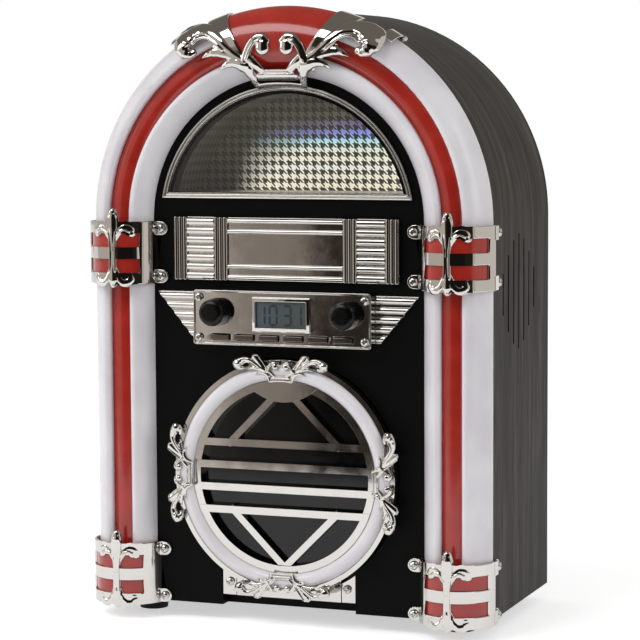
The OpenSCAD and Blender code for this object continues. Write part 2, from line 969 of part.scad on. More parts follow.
// Strands of one half of the scrollwork as [x, up, radius] points: x from the middle, up from the foot
leaning_up = 12;
big_scroll = [
    [22, 14.5, 2], [32.4, 20.2, 2.3], [39.8, 26.6, 2.8], [46.5, 32, 3.4], [52, 33.4, 3.6], [57, 33.2, 4.1],
    [61.5, 31.4, 5.2], [64.6, 28, 6.5], [65.2, 24.2, 7.2], [63.4, 20.9, 5.6], [59.5, 19.6, 3.4],
    [56.3, 18.9, 2]
];
upper_leaf = [[24, 14.6, 1.8], [30.6, 17.5, 2.3], [41.5, 20, 2.2], [45.5, 19, 1.5], [49.6, 16.4, 0.6]];
lower_leaf = [[22, 11.5, 2.2], [27, 12, 2.6], [31, 12, 2.5], [34.3, 10.8, 1.9], [36, 7.8, 0.6]];
small_curl = [
    [21, 15, 2.4], [18.6, 20, 2.4], [15.6, 25, 2.4], [12.3, 28, 2.4], [8.6, 28.9, 2.4], [5.6, 27.4, 2.2]
];
pearl = [[8, 22.6, 4.1], [8, 22, 4.1]];
inner_leg = [[19, 16, 2.2], [9.5, 6.3, 2.2]];
outer_leg = [[22, 10, 2.2], [18.3, 6, 2.4], [15.8, 0.5, 2.4]];
foot_bar = [[16, 0, 2.2], [0, 0.5, 2.2]];
blade = [[22, 10, 2.6], [34, 20, 4.4], [45, 29, 5.6]];
strands = [big_scroll, upper_leaf, lower_leaf, small_curl, pearl, inner_leg, outer_leg, foot_bar];

// Mirrored scrollwork on a base line, at a scale, with a rise in front of the baffle
module scrollwork(lines, size, rise, relief, lean, faces) {
    pair()
        scale([size, 1, size])
            for (points = lines)
                strand(points, rise, relief, lean, faces);
}

// Section of the strip that runs from a scroll down the straps' round to a screw in the wood
module crest_strip() {
    tab_r0 = cabinet_r + running;
    translate([tab_r0, -side_screw_v - tab_d / 2])
        square([tab_t, side_screw_v + tab_d / 2 - baffle_proud]);
    translate([tab_r0, -baffle_proud - strap_t])
        square([strap_r1 - tab_r0, strap_t]);
    intersection() {
        strap_section(baffle_proud);
        translate([frame_mid_r + strap_half / 2, -baffle_proud])
            square([strap_half, baffle_proud + strap_rise]);
    }
}

module top_crest() color("silver") {
    difference() {
        union() {
            translate([0, 0, arch_z + crest_base_up])
                scrollwork(strands, crest_size, crest_rise, crest_relief, crest_lean, 12);
            pair() {
                intersection() {
                    round_arch(55, 89)
                        strap_section();
                    slab(-strap_rise - past, baffle_proud)
                        translate([0, arch_z + crest_base_up])
                            scale([crest_size, crest_size])
                                polygon(crest_strap);
                }
                intersection() {
                    round_arch(90 - crest_angle - 8, 90 - crest_angle + 8)
                        crest_strip();
                    facing_crown(crest_angle, cabinet_r, 0)
                        translate([-crest_tab_w / 2, -front_reach, -tab_d])
                            cube([crest_tab_w, front_reach + side_screw_v + tab_d, 2 * tab_d]);
                }
            }
        }
        round_arch(90 - crown_half_angle - 1, 90 + crown_half_angle + 1)
            translate([0, -past])
                bowed(sleeve_r0 - seat, sleeve_r1 + seat, sleeve_rise + seat + past, strap_bow, 0);
        round_arch(0, 180)
            bowed(frame_inner_r - seat, frame_r + seat, tube_rise + seat, tube_bow, baffle_proud);
        pair()
            facing_crown(crest_angle, cabinet_r, side_screw_v)
                translate([0, 0, -past])
                    cylinder(d = screw_d + 2 * running, h = tab_t + 2 * past, $fn = 24);
    }
}

// Window bezel with two lips, each from one share of its width to another at a share of its rise
module window_bezel() color("silver") {
    lips = [[0, 1, 0.3], [0, 0.26, 1], [0.5, 0.76, 0.85]];
    for (lip = lips)
        slab(-bezel_rise * lip[2], 0)
            difference() {
                half_moon(window_r - bezel_w * lip[0], window_z + bezel_w * lip[0]);
                half_moon(window_r - bezel_w * lip[1], window_z + bezel_w * lip[1]);
            }
}

module window_lens() color("#e8eef0", 0.35) {
    slab(-lens_t, 0)
        half_moon(lens_r - seat, window_z + bezel_w + seat);
}

module foil_housing() color("#b9bcc0") {
    low = window_z + bezel_w;
    back = baffle_t + housing_depth;
    difference() {
        union() {
            slab(baffle_t, back)
                half_moon(opening_r + housing_t, low - housing_t);
            slab(baffle_t, baffle_t + housing_t)
                half_moon(opening_r + housing_t + housing_flange, low - housing_t - housing_flange);
        }
        slab(baffle_t - past, back - housing_t)
            half_moon(opening_r, low);
    }
}

// A horizontal rib with a round front, between two places across
module rib(x0, x1, v, z, r) {
    translate([x0, v, z])
        rotate([0, 90, 0])
            cylinder(r = r, h = x1 - x0);
}

// Three upright flutes that fill one strip of the name plate
module flutes(x) {
    flute_r = flute_w / 6;
    for (i = [0 : 2])
        translate([x + flute_r * (2 * i + 1), -plate_rise + flute_r, plate_z - plate_h / 2])
            cylinder(r = flute_r - running, h = plate_h);
}

module name_plate() color("silver") {
    left = -plate_w / 2;
    bottom = plate_z - plate_h / 2;
    ribs_at = left + flute_w;
    centre_at = ribs_at + rib_field_w + flute_w;
    rib_pitch = plate_h / rib_count;
    rail_pitch = plate_h / 9;
    rail_r = 1.5;
    box([left, -plate_back_t, bottom], [-left, 0, bottom + plate_h]);
    pair() {
        for (x = [left, ribs_at + rib_field_w]) {
            box([x, -plate_rise + flute_w / 6, bottom], [x + flute_w, 0, bottom + plate_h]);
            flutes(x);
        }
        for (i = [0 : rib_count - 1])
            intersection() {
                rib(ribs_at, ribs_at + rib_field_w, -plate_back_t + 0.2, bottom + rib_pitch * (i + 0.5),
                    rib_pitch * 0.45);
                box([left, -plate_rise, bottom], [0, -running, bottom + plate_h]);
            }
    }
    for (i = [0.5, 2, 7, 8.5])
        rib(centre_at, -centre_at, -plate_back_t - 0.6, bottom + rail_pitch * i, rail_r);
}

module panel_screw_places(v) {
    for (up = [-panel_screw_up, panel_screw_up])
        pair()
            facing_front(panel_screw_x, v, panel_z + up)
                children();
}

module panel_outline(inset) {
    corner = max(panel_corner_r - inset, past);
    translate([0, panel_z])
        offset(r = corner)
            square([panel_w - 2 * inset - 2 * corner, panel_h - 2 * inset - 2 * corner], center = true);
}

module panel_slot(w, h, x, up) {
    translate([x, panel_z + up])
        square([w, h], center = true);
}

function button_x(i) = (i - 2.5) * button_pitch;

module control_panel() color("silver") {
    difference() {
        union() {
            difference() {
                slab(-panel_rise, 0)
                    panel_outline(0);
                slab(-panel_rise + panel_t, past)
                    panel_outline(panel_t);
            }
            slab(-panel_rise - rim_h, -panel_rise)
                difference() {
                    panel_outline(0);
                    panel_outline(rim_h * 1.5);
                }
            hull() {
                slab(-panel_rise - past, -panel_rise)
                    panel_slot(display_w + 2 * display_frame_w, display_h + 2 * display_frame_w,
                               0, display_up);
                slab(-panel_rise - display_frame_rise, -panel_rise)
                    panel_slot(display_w + display_frame_w / 2, display_h + display_frame_w / 2,
                               0, display_up);
            }
            panel_screw_places(0)
                cylinder(r = panel_boss_r, h = panel_rise);
            for (x = [-post_x, post_x])
                rod(post_r, -panel_rise + panel_t, board_v, x, panel_z);
        }
        slab(-panel_rise - 2 * display_frame_rise, -panel_rise + panel_t + past) {
            panel_slot(display_w + 2 * seat, display_h + 2 * seat, 0, display_up);
            for (i = [0 : 5])
                panel_slot(button_w + 2 * free, button_h + 2 * free, button_x(i), -button_down);
        }
        for (x = [-knob_x, knob_x])
            rod(bushing_r + seat, -panel_rise - past, -panel_rise + panel_t + past, x, panel_z + knob_up);
        panel_screw_places(0)
            translate([0, 0, -past])
                cylinder(d = screw_d + 2 * running, h = panel_rise + 2 * past);
    }
}

module panel_screws() color("#c9c9c9") {
    panel_screw_places(-panel_rise)
        pan_screw(panel_head_d, panel_screw_length);
}

module right_wing() color("silver") {
    top = panel_z + panel_h / 2 - 2;
    for (i = [0 : wing_ribs - 1]) {
        x1 = wing_x + wing_length - i * wing_step;
        z1 = top - i * wing_pitch;
        slab(-wing_back_t, 0)
            polygon([
                [wing_x, z1], [x1, z1], [x1 - wing_step, z1 - wing_pitch], [wing_x, z1 - wing_pitch]
            ]);
        intersection() {
            rib(wing_x, x1, -wing_rise + wing_rib_r, z1 - wing_pitch / 2, wing_rib_r);
            slab(-wing_rise - past, -running)
                polygon([
                    [wing_x, z1], [x1, z1], [x1 - wing_step, z1 - wing_pitch], [wing_x, z1 - wing_pitch]
                ]);
        }
    }
}

module left_wing() mirror([1, 0, 0]) right_wing();

module display_module() color("#5c6a70") {
    slab(-panel_rise + display_step, -panel_rise + panel_t)
        panel_slot(display_w, display_h, 0, display_up);
    slab(-panel_rise + panel_t, display_back)
        panel_slot(display_w + 4, display_h + 3, 0, display_up);
    slab(display_back, board_v)
        panel_slot(display_w - 6, 2, 0, display_up + display_h / 2 - 2);
}

module control_board() color("#1f5a34") {
    slab(board_v, board_v + board_t)
        panel_slot(board_w, board_h, 0, 0);
    for (i = [0 : 5])
        slab(board_v - switch_h, board_v)
            panel_slot(switch_size, switch_size, button_x(i), -button_down + 0.9);
}

// Body and threaded bushing of a rotary control
module rotary_control(x) {
    up = panel_z + knob_up;
    color("#8d8f92")
        difference() {
            union() {
                slab(control_front, board_v)
                    panel_slot(control_size, control_size, x, knob_up);
                rod(bushing_r, -panel_rise + 0.5, control_front, x, up);
            }
            rod(shaft_d / 2 + running, -panel_rise - past, control_front + 4, x, up);
        }
}

module volume_control() rotary_control(-knob_x);
module tuning_control() rotary_control(knob_x);

// Knob with a domed face and its shaft
module knob(x) {
    crown = 2.5;
    color("#0b0b0b")
        translate([x, 0, panel_z + knob_up])
            rotate([90, 0, 0])
                rotate_extrude()
                    polygon([
                        [0, -control_front - 4 + running], [shaft_d / 2, -control_front - 4 + running],
                        [shaft_d / 2, -knob_back], [knob_d / 2, -knob_back],
                        [knob_d / 2 - 0.6, -knob_front - crown],
                        [knob_d / 2 - 1.4, -knob_front - crown * 0.45],
                        [knob_d / 2 - 3, -knob_front - crown * 0.12],
                        [knob_d / 2 - 5, -knob_front], [0, -knob_front]
                    ]);
}

module volume_knob() knob(-knob_x);
module tuning_knob() knob(knob_x);

// Button cap with the flange that keeps it in the panel and a stem to its switch
module button(i) {
    flange_front = -panel_rise + panel_t + 0.3;
    stem_end = board_v - switch_h - button_travel - 0.15;
    color("#3a3634") {
        slab(-panel_rise - button_rise, flange_front)
            panel_slot(button_w, button_h, button_x(i), -button_down);
        slab(flange_front, flange_front + flange_t)
            panel_slot(button_w + 2 * flange_w, button_h + 1, button_x(i), -button_down + 0.4);
        slab(flange_front + flange_t, stem_end)
            panel_slot(3, 3, button_x(i), -button_down + 0.9);
    }
}

module power_button() button(0);
module function_button() button(1);
module play_button() button(2);
module stop_button() button(3);
module back_button() button(4);
module forward_button() button(5);

// A slanted strut of the door's grille between two places in the front view
module strut(x0, z0, x1, z1) {
    length = norm([x1 - x0, z1 - z0]);
    slab(strut_front, bar_back)
        translate([x0, door_z + z0])
            rotate(atan2(z1 - z0, x1 - x0))
                translate([-strut_w / 2, -strut_w / 2])
                    square([length + strut_w, strut_w]);
}

// Chrome bars, struts and push tab that cross the door's opening
module grille() {
    upper = 1.5 * bar_pitch - bar_drop;
    lower = -1.5 * bar_pitch - bar_drop;
    intersection() {
        union() {
            for (i = [-1.5, -0.5, 0.5, 1.5])
                box([-door_r, bar_front, door_z + i * bar_pitch - bar_drop - bar_h / 2],
                    [door_r, bar_back, door_z + i * bar_pitch - bar_drop + bar_h / 2]);
            slab(bar_front, bar_back)
                translate([0, door_z + door_inner_r - door_tab_depth + tab_r])
                    circle(tab_r);
        }
        rod(glow_r0, bar_front - past, bar_back + past, 0, door_z);
    }
    intersection() {
        pair() {
            strut(8, door_inner_r - door_tab_depth + 2, 38, upper);
            strut(36.5, lower, 1, -door_inner_r);
        }
        rod(door_inner_r + past, strut_front - past, bar_back + past, 0, door_z);
    }
}

module door_frame() color("silver") {
    difference() {
        union() {
            round_door()
                polygon([
                    [door_inner_r, -rebate_v], [door_inner_r, door_rise], [glow_r0, door_rise],
                    [glow_r0, -glow_floor], [glow_r1, -glow_floor], [glow_r1, door_rise],
                    [door_r, door_rise], [door_r, -door_back],
                    [door_inner_r + rebate_w, -door_back], [door_inner_r + rebate_w, -rebate_v]
                ]);
            grille();
            slab(0, door_back)
                difference() {
                    translate([-door_foot_half, door_foot_z])
                        square([2 * door_foot_half, door_z - door_foot_z - door_inner_r + 8]);
                    translate([0, door_z])
                        circle(door_inner_r + rebate_w);
                }
            pair()
                translate([door_foot_half - barrel_length, hinge_v, hinge_z])
                    rotate([0, 90, 0])
                        cylinder(r = barrel_r, h = barrel_length);
            box([-hook_w / 2, 0, door_z + hook_up - hook_h / 2],
                [hook_w / 2, hook_back, door_z + hook_up + hook_h / 2]);
        }
        pair()
            hinge_hole(door_foot_half - barrel_length - past, barrel_length + 2 * past, running);
    }
}

module hinge_hole(x, length, room) {
    translate([x, hinge_v, hinge_z])
        rotate([0, 90, 0])
            cylinder(r = pin_d / 2 + room, h = length);
}

module door_light_ring() color("#e4e1e6") {
    round_door()
        translate([0, -glow_floor])
            domed(glow_r0 + seat, glow_r1 - seat, door_rise + glow_rise + glow_floor);
}

module door_window() color("#141316", 0.6) {
    rod(door_inner_r + rebate_w - seat, rebate_v, rebate_v + pane_t, 0, door_z);
}

module door_ornaments() color("silver") {
    rise = door_rise + glow_rise + ornament_lift;
    difference() {
        for (turn = [0 : 90 : 270])
            translate([0, 0, door_z])
                rotate([0, turn, 0])
                    translate([0, 0, ornament_base])
                        scrollwork(concat(strands, [blade]), ornament_scale, rise, ornament_relief, 0, 6);
        round_door()
            union() {
                domed(glow_r0, glow_r1, door_rise + glow_rise + seat);
                square([door_r, door_rise]);
            }
    }
}

// Hinge blocks fill the notch's corners beside the door's foot
module hinge_blocks() color("silver") {
    pair()
        difference() {
            slab(0, baffle_t)
                difference() {
                    translate([door_foot_half + free, door_foot_z])
                        square([notch_half - door_foot_half - free - seat,
                                door_z - door_foot_z - door_r + 22]);
                    translate([0, door_z])
                        circle(door_r + 3 * door_gap);
                }
            hinge_hole(door_foot_half - past, pin_length - barrel_length + past, 0);
            facing_front(hinge_screw_x, 0, hinge_screw_z)
                pilot(screw_length);
        }
}

module hinge_pins() color("#b8b8b8") {
    pair()
        hinge_hole(door_foot_half - barrel_length + free, pin_length - free, 0);
}

module door_latch() color("#2b2b2e") {
    low = door_z + bay_r + bay_t + seat;
    front = baffle_t + bay_t;
    difference() {
        box([-latch_w / 2, front, low], [latch_w / 2, front + latch_depth, low + latch_h]);
        box([-hook_w / 2 - hook_room, front - past, door_z + hook_up - hook_h / 2 - hook_room],
            [hook_w / 2 + hook_room, hook_back + 3, door_z + hook_up + hook_h / 2 + hook_room]);
    }
}

module cd_bay() color("#111112") {
    difference() {
        round_door()
            polygon([
                [0, -bay_back], [bay_r + bay_t, -bay_back], [bay_r + bay_t, -baffle_t - bay_t],
                [bay_flange_r, -baffle_t - bay_t], [bay_flange_r, -baffle_t], [bay_r, -baffle_t],
                [bay_r, -bay_floor], [0, -bay_floor]
            ]);
        rod(hub_r + 2, bay_floor - past, bay_back + past, 0, door_z);
        box([sled_x0 - 1, bay_floor - past, door_z - eye_r - 5],
            [sled_x0 + sled_w / 2 + sled_travel + eye_r + 1.5, bay_back + past, door_z + eye_r + 5]);
        box([-hook_w / 2 - hook_room, baffle_t - past, door_z + hook_up - hook_h / 2 - hook_room],
            [hook_w / 2 + hook_room, baffle_t + bay_t + past, door_z + hook_up + hook_h / 2 + hook_room]);
        pair()
            facing_front(hinge_screw_x, 0, hinge_screw_z)
                pilot(screw_length + past);
    }
}

// Chassis plate on four posts behind the bay, with the blocks that hold the rods
module cd_deck() color("#9a9da1") {
    difference() {
        union() {
            box([deck_x0, deck_v, door_z + deck_bottom], [deck_x1, deck_v + deck_t, door_z + deck_top]);
            for (x = [rod_x0 - 3, rod_x1 - 1], up = [-rod_up, rod_up])
                box([x, rod_v - 3, door_z + up - 3], [x + 4, deck_v, door_z + up + 3]);
            for (p = post_places)
                rod(deck_post_r, bay_back, deck_v, p[0], door_z + p[1]);
        }
        translate([0, 0, door_z])
            for (up = [-rod_up, rod_up])
                translate([rod_x0 - 1, rod_v, up])
                    rotate([0, 90, 0])
                        cylinder(r = rod_r, h = rod_x1 - rod_x0 + 2);
        rod(spindle_r + 2, deck_v - past, deck_v + deck_t + past, 0, door_z);
        rod(feed_shaft_r + running, deck_v - past, deck_v + deck_t + past, feed_x, door_z + feed_z);
        rod(sled_motor_shaft_r + free, deck_v - past, deck_v + deck_t + past,
            sled_motor_x, door_z + sled_motor_z);
    }
}

module spindle_motor() color("#a9abae") {
    difference() {
        rod(motor_r, bay_back + 1, deck_v, 0, door_z);
        rod(spindle_r + running, bay_back, deck_v + past, 0, door_z);
    }
}

module disc_hub() color("#1d1d20") {
    round_door()
        polygon([
            [0, -deck_v + running], [spindle_r, -deck_v + running], [spindle_r, -disc_v - hub_flange_t],
            [hub_r, -disc_v - hub_flange_t], [hub_r, -disc_v], [hub_boss_r, -disc_v],
            [hub_boss_r, -disc_v + hub_boss_h - 1.2], [hub_boss_r - 1.2, -disc_v + hub_boss_h],
            [0, -disc_v + hub_boss_h]
        ]);
}

module guide_rods() color("#c4c6c8") {
    for (up = [-rod_up, rod_up])
        translate([rod_x0 - 1 + running, rod_v, door_z + up])
            rotate([0, 90, 0])
                cylinder(r = rod_r, h = rod_x1 - rod_x0 + 2 - 2 * running);
}

// Straight-flanked teeth, thinned for play: half the tooth's width at the pitch line
function half_tooth(m) = PI * m * (1 - tooth_play) / 4;
function flank(m) = m * tan(20);

function gear_outline(m, teeth, turn) = [
    for (i = [0 : teeth - 1], k = [[-1, -1.2, 1.2], [-1, 0.9, -0.9], [1, 0.9, -0.9], [1, -1.2, 1.2]])
        let (
            pitch_r = m * teeth / 2,
            r = pitch_r + k[1] * m,
            a = turn + 360 * i / teeth + k[0] * (half_tooth(m) + k[2] * flank(m)) / pitch_r * 180 / PI
        )
            [r * cos(a), r * sin(a)]
];

// Rack teeth that point down, with a tooth centred on each pitch from x0
module rack_teeth(x0, count) {
    h = half_tooth(rack_module);
    f = flank(rack_module);
    for (i = [0 : count - 1])
        translate([x0 + i * PI * rack_module, rack_pitch_z])
            polygon([
                [-h - 1.2 * f, 1.2 * rack_module], [-h + 0.9 * f, -0.9 * rack_module],
                [h - 0.9 * f, -0.9 * rack_module], [h + 1.2 * f, 1.2 * rack_module]
            ]);
}

module laser_sled() color("#26282b") {
    rack_pitch = PI * rack_module;
    count = ceil((sled_travel + 8) / rack_pitch);
    rack_end = feed_x + 2 * rack_pitch;
    translate([0, 0, door_z])
        difference() {
            union() {
                box([sled_x0, sled_front, -sled_half], [sled_x0 + sled_w, sled_back, sled_half]);
                rod(eye_r, bay_floor - 0.6, sled_front, sled_x0 + sled_w / 2, 0);
                slab(feed_front, feed_back) {
                    translate([rack_end - count * rack_pitch, -sled_half - rack_h])
                        square([count * rack_pitch, rack_h + 0.2]);
                    rack_teeth(rack_end - (count - 0.5) * rack_pitch + 0.5 * rack_pitch - rack_pitch, count);
                }
            }
            for (up = [-rod_up, rod_up])
                translate([sled_x0 - past, rod_v, up])
                    rotate([0, 90, 0])
                        cylinder(r = rod_r + running, h = sled_w + 2 * past);
        }
}

module feed_gear() color("#e6e2d6") {
    translate([feed_x, 0, door_z + feed_z]) {
        slab(feed_front, feed_back)
            polygon(gear_outline(rack_module, feed_teeth, 90 - 180 / feed_teeth));
        rod(feed_shaft_r, feed_back, gear_v);
        slab(gear_v, gear_v + gear_t)
            polygon(gear_outline(wheel_module, wheel_teeth, motor_angle));
    }
}

module sled_motor() color("#a9abae") {
    x = sled_motor_x;
    z = door_z + sled_motor_z;
    difference() {
        rod(sled_motor_r, bay_back + 1, deck_v, x, z);
        rod(sled_motor_shaft_r + running, deck_v - 5, deck_v + past, x, z);
    }
}

module sled_motor_gear() color("#e6e2d6") {
    translate([sled_motor_x, 0, door_z + sled_motor_z]) {
        slab(gear_v, gear_v + gear_t)
            polygon(gear_outline(wheel_module, motor_teeth, motor_angle + 180 + 180 / motor_teeth));
        rod(sled_motor_shaft_r, deck_v - 5 + running, gear_v);
    }
}

// Speaker behind the right-hand slots: frame, cone dish, dust cap and magnet in one turned shape
module right_speaker() color("#232323") {
    cap = 11;
    translate([inner_r - seat, speaker_v, speaker_z])
        rotate([0, -90, 0])
            rotate_extrude()
                polygon([
                    [0, 15], [cap * 0.7, 16.5], [cap, 20], [cone_r, 3], [cone_r + 1, 0], [speaker_r, 0],
                    [speaker_r, speaker_frame_t], [cone_r + 2, speaker_frame_t + speaker_wall],
                    [magnet_r - 3, speaker_depth - magnet_t], [magnet_r, speaker_depth - magnet_t],
                    [magnet_r, speaker_depth], [0, speaker_depth]
                ]);
}

module left_speaker() mirror([1, 0, 0]) right_speaker();

module main_board() color("#1f5a34") {
    z = base_z + base_t + standoff_h;
    half = main_board_w / 2;
    box([-half, main_board_v, z], [half, main_board_v + main_board_l, z + board_t]);
    for (x = [-half + 6, half - 6], v = [main_board_v + 6, main_board_v + main_board_l - 6])
        translate([x, v, base_z + base_t])
            cylinder(r = 3, h = standoff_h);
    for (i = [0 : 2])
        translate([-half + 20 + 16 * i, main_board_v + 20, z + board_t])
            cylinder(r = 6, h = 18);
    for (i = [0 : 5])
        box([half - 44 + 6 * i, main_board_v + 34, z + board_t],
            [half - 41 + 6 * i, main_board_v + 58, z + board_t + 22]);
    box([half - 46, main_board_v + 44, z + board_t], [half - 8, main_board_v + 48, z + board_t + 22]);
}

// Socket body behind the rear cover, with a collar through it
module socket(x, size) {
    box([x - size[0] / 2, shell_back - size[1], socket_z - size[2] / 2],
        [x + size[0] / 2, shell_back, socket_z + size[2] / 2]);
    rod(socket_collar_r, shell_back, cabinet_depth, x, socket_z);
}

module power_inlet() color("#1b1b1d") {
    difference() {
        socket(inlet_x, inlet_body);
        rod(inlet_r, cabinet_depth - 11, cabinet_depth + past, inlet_x, socket_z);
    }
    rod(inlet_pin_r, cabinet_depth - 11 - past, cabinet_depth - 1, inlet_x, socket_z);
}

module line_socket() color("#1b1b1d") {
    difference() {
        socket(line_x, line_body);
        rod(line_r, cabinet_depth - 15, cabinet_depth + past, line_x, socket_z);
    }
}

// Moves the baffle's face to its place, so that the object's middle is over the origin
module placed() {
    translate([0, face_y, 0])
        children();
}

placed() cabinet_shell();
placed() base_board();
placed() front_baffle();
placed() rear_cover();
placed() rear_cover_screws();
placed() rubber_feet();
placed() outer_light_tube();
placed() red_light_strip();
placed() inner_light_tube();
placed() outer_led_strip();
placed() inner_led_strip();
placed() crown_sleeve();
placed() bracket_sleeves();
placed() upper_left_bracket();
placed() upper_right_bracket();
placed() lower_left_bracket();
placed() lower_right_bracket();
placed() top_crest();
placed() trim_screws();
placed() window_bezel();
placed() window_lens();
placed() foil_housing();
placed() name_plate();
placed() control_panel();
placed() left_wing();
placed() right_wing();
placed() panel_screws();
placed() display_module();
placed() control_board();
placed() volume_control();
placed() tuning_control();
placed() volume_knob();
placed() tuning_knob();
placed() power_button();
placed() function_button();
placed() play_button();
placed() stop_button();
placed() back_button();
placed() forward_button();
placed() door_frame();
placed() door_light_ring();
placed() door_window();
placed() door_ornaments();
placed() hinge_blocks();
placed() hinge_pins();
placed() door_latch();
placed() cd_bay();
placed() cd_deck();
placed() spindle_motor();
placed() disc_hub();
placed() guide_rods();
placed() laser_sled();
placed() feed_gear();
placed() sled_motor();
placed() sled_motor_gear();
placed() left_speaker();
placed() right_speaker();
placed() main_board();
placed() power_inlet();
placed() line_socket();
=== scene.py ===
"""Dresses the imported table-top jukebox: rounded chrome, carved scrollwork, materials, studio and camera."""
import json
import math

import bmesh
import bpy
from bpy.props import FloatProperty, FloatVectorProperty, IntProperty, PointerProperty
from mathutils import Matrix, Vector

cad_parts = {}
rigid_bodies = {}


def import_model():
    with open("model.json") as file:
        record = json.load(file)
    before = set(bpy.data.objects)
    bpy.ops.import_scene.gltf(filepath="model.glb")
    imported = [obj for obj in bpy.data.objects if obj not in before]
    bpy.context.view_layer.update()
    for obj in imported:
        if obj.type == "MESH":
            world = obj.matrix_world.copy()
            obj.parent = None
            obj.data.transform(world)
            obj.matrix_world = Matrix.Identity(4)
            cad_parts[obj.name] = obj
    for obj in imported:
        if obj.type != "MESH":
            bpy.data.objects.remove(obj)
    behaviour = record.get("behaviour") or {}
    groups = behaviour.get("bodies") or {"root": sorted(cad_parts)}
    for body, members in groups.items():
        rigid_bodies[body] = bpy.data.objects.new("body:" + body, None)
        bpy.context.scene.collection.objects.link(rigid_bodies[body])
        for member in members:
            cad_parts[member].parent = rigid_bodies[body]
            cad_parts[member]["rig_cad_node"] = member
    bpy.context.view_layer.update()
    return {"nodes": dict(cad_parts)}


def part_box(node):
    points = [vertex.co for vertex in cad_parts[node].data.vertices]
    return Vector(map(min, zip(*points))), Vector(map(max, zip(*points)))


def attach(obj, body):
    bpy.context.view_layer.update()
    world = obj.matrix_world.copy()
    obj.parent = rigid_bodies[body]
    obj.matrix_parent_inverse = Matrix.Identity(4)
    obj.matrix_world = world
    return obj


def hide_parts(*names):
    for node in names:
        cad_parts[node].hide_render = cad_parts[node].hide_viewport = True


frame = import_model()

bl_info = {
    "name": "Table-top jukebox",
    "version": (1, 0, 0),
    "blender": (4, 5, 0),
    "location": "3D View > Sidebar > Jukebox",
    "description": "Builds the visible finish of a table-top jukebox on its packed frame",
    "category": "Object",
}

MM = 0.001

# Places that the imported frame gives
FACE_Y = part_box("front_baffle")[0].y
CABINET_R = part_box("cabinet_shell")[1].x
ARCH_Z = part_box("cabinet_shell")[1].z - CABINET_R
DOOR_Z = (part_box("door_light_ring")[0].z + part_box("door_light_ring")[1].z) / 2
FRAME_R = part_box("outer_light_tube")[1].x
DISPLAY_LOW, DISPLAY_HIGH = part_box("display_module")

# Places worked out from them: the middle between the two light tubes, the crest's foot and the door's edge
TUBES_WIDTH = 45.5 * MM
CREST_DROP = 48.5 * MM
DOOR_RIM = 3.1 * MM
FRAME_MID_R = FRAME_R - TUBES_WIDTH / 2
CREST_FOOT_Z = ARCH_Z + FRAME_R - CREST_DROP
DOOR_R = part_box("door_light_ring")[1].x + DOOR_RIM

BUTTONS = ["power", "function", "play", "stop", "back", "forward"]
BRACKETS = ["upper_left_bracket", "upper_right_bracket", "lower_left_bracket", "lower_right_bracket"]
PLATED = ["window_bezel", "name_plate", "control_panel", "left_wing", "right_wing", "hinge_blocks"]


def linear(code):
    """Linear colour with alpha from an sRGB hex value."""
    parts = [int(code[i:i + 2], 16) / 255 for i in (1, 3, 5)]
    return tuple(c / 12.92 if c <= 0.04045 else ((c + 0.055) / 1.055) ** 2.4 for c in parts) + (1.0,)


class JukeboxSizes(bpy.types.PropertyGroup):
    """Sizes of what the dressing adds to the frame."""
    trim_edge: FloatProperty(
        name="Trim edge", description="Rounding of the plated trim's edges", default=0.45 * MM, unit="LENGTH")
    door_edge: FloatProperty(
        name="Door edge", description="Rounding of the door frame's and brackets' front edges",
        default=0.65 * MM, unit="LENGTH")
    button_edge: FloatProperty(
        name="Button edge", description="Rounding of the push buttons' edges", default=0.4 * MM,
        unit="LENGTH")
    knob_edge: FloatProperty(
        name="Knob edge", description="Rounding of the knobs' edges", default=0.9 * MM, unit="LENGTH")
    edge_segments: IntProperty(
        name="Edge segments", description="Steps in each rounded edge", default=3, min=1, max=6)
    strap_round: FloatProperty(
        name="Strap round", description="Radius of the straps' half-round", default=25.45 * MM, unit="LENGTH")
    strap_rise: FloatProperty(
        name="Strap rise", description="How far the straps stand in front of the baffle", default=20 * MM,
        unit="LENGTH")
    strap_thickness: FloatProperty(
        name="Strap thickness", description="Thickness of the crest's straps", default=1.4 * MM,
        unit="LENGTH")
    scroll_rise: FloatProperty(
        name="Scroll rise", description="How far the crest's scrolls stand in front of the baffle",
        default=18.6 * MM, unit="LENGTH")
    scroll_voxel: FloatProperty(
        name="Scroll voxel", description="Grain of the cast scrollwork", default=0.36 * MM, unit="LENGTH")
    ornament_scale: FloatProperty(
        name="Ornament scale", description="Size of the door's scrolls against the crest's", default=0.463)
    fleur_voxel: FloatProperty(
        name="Fleur voxel", description="Grain of the brackets' cast ornament", default=0.27 * MM,
        unit="LENGTH")
    digit_height: FloatProperty(
        name="Digit height", description="Height of the display's digits", default=12.4 * MM, unit="LENGTH")
    digit_stroke: FloatProperty(
        name="Digit stroke", description="Width of a digit's segment", default=1.5 * MM, unit="LENGTH")


class JukeboxColours(bpy.types.PropertyGroup):
    """Main colours, as linear values of their sRGB hex codes."""
    chrome: FloatVectorProperty(
        name="Chrome", description="Plated trim", size=4, subtype="COLOR", default=linear("#C9C6C2"))
    milky: FloatVectorProperty(
        name="Milky plastic", description="White light tubes", size=4, subtype="COLOR",
        default=linear("#E3DFE5"))
    milky_cloud: FloatVectorProperty(
        name="Milky cloud", description="Paler patches in the white light tubes", size=4, subtype="COLOR",
        default=linear("#EDEBEE"))
    red: FloatVectorProperty(
        name="Red plastic", description="Red strip and sleeves", size=4, subtype="COLOR",
        default=linear("#A0241B"))
    red_cloud: FloatVectorProperty(
        name="Red cloud", description="Paler patches in the red strip and sleeves", size=4, subtype="COLOR",
        default=linear("#B42E21"))
    black: FloatVectorProperty(
        name="Black paint", description="Front baffle", size=4, subtype="COLOR", default=linear("#080808"))
    floor: FloatVectorProperty(
        name="Floor", description="Studio floor", size=4, subtype="COLOR", default=linear("#F4F4F4"))


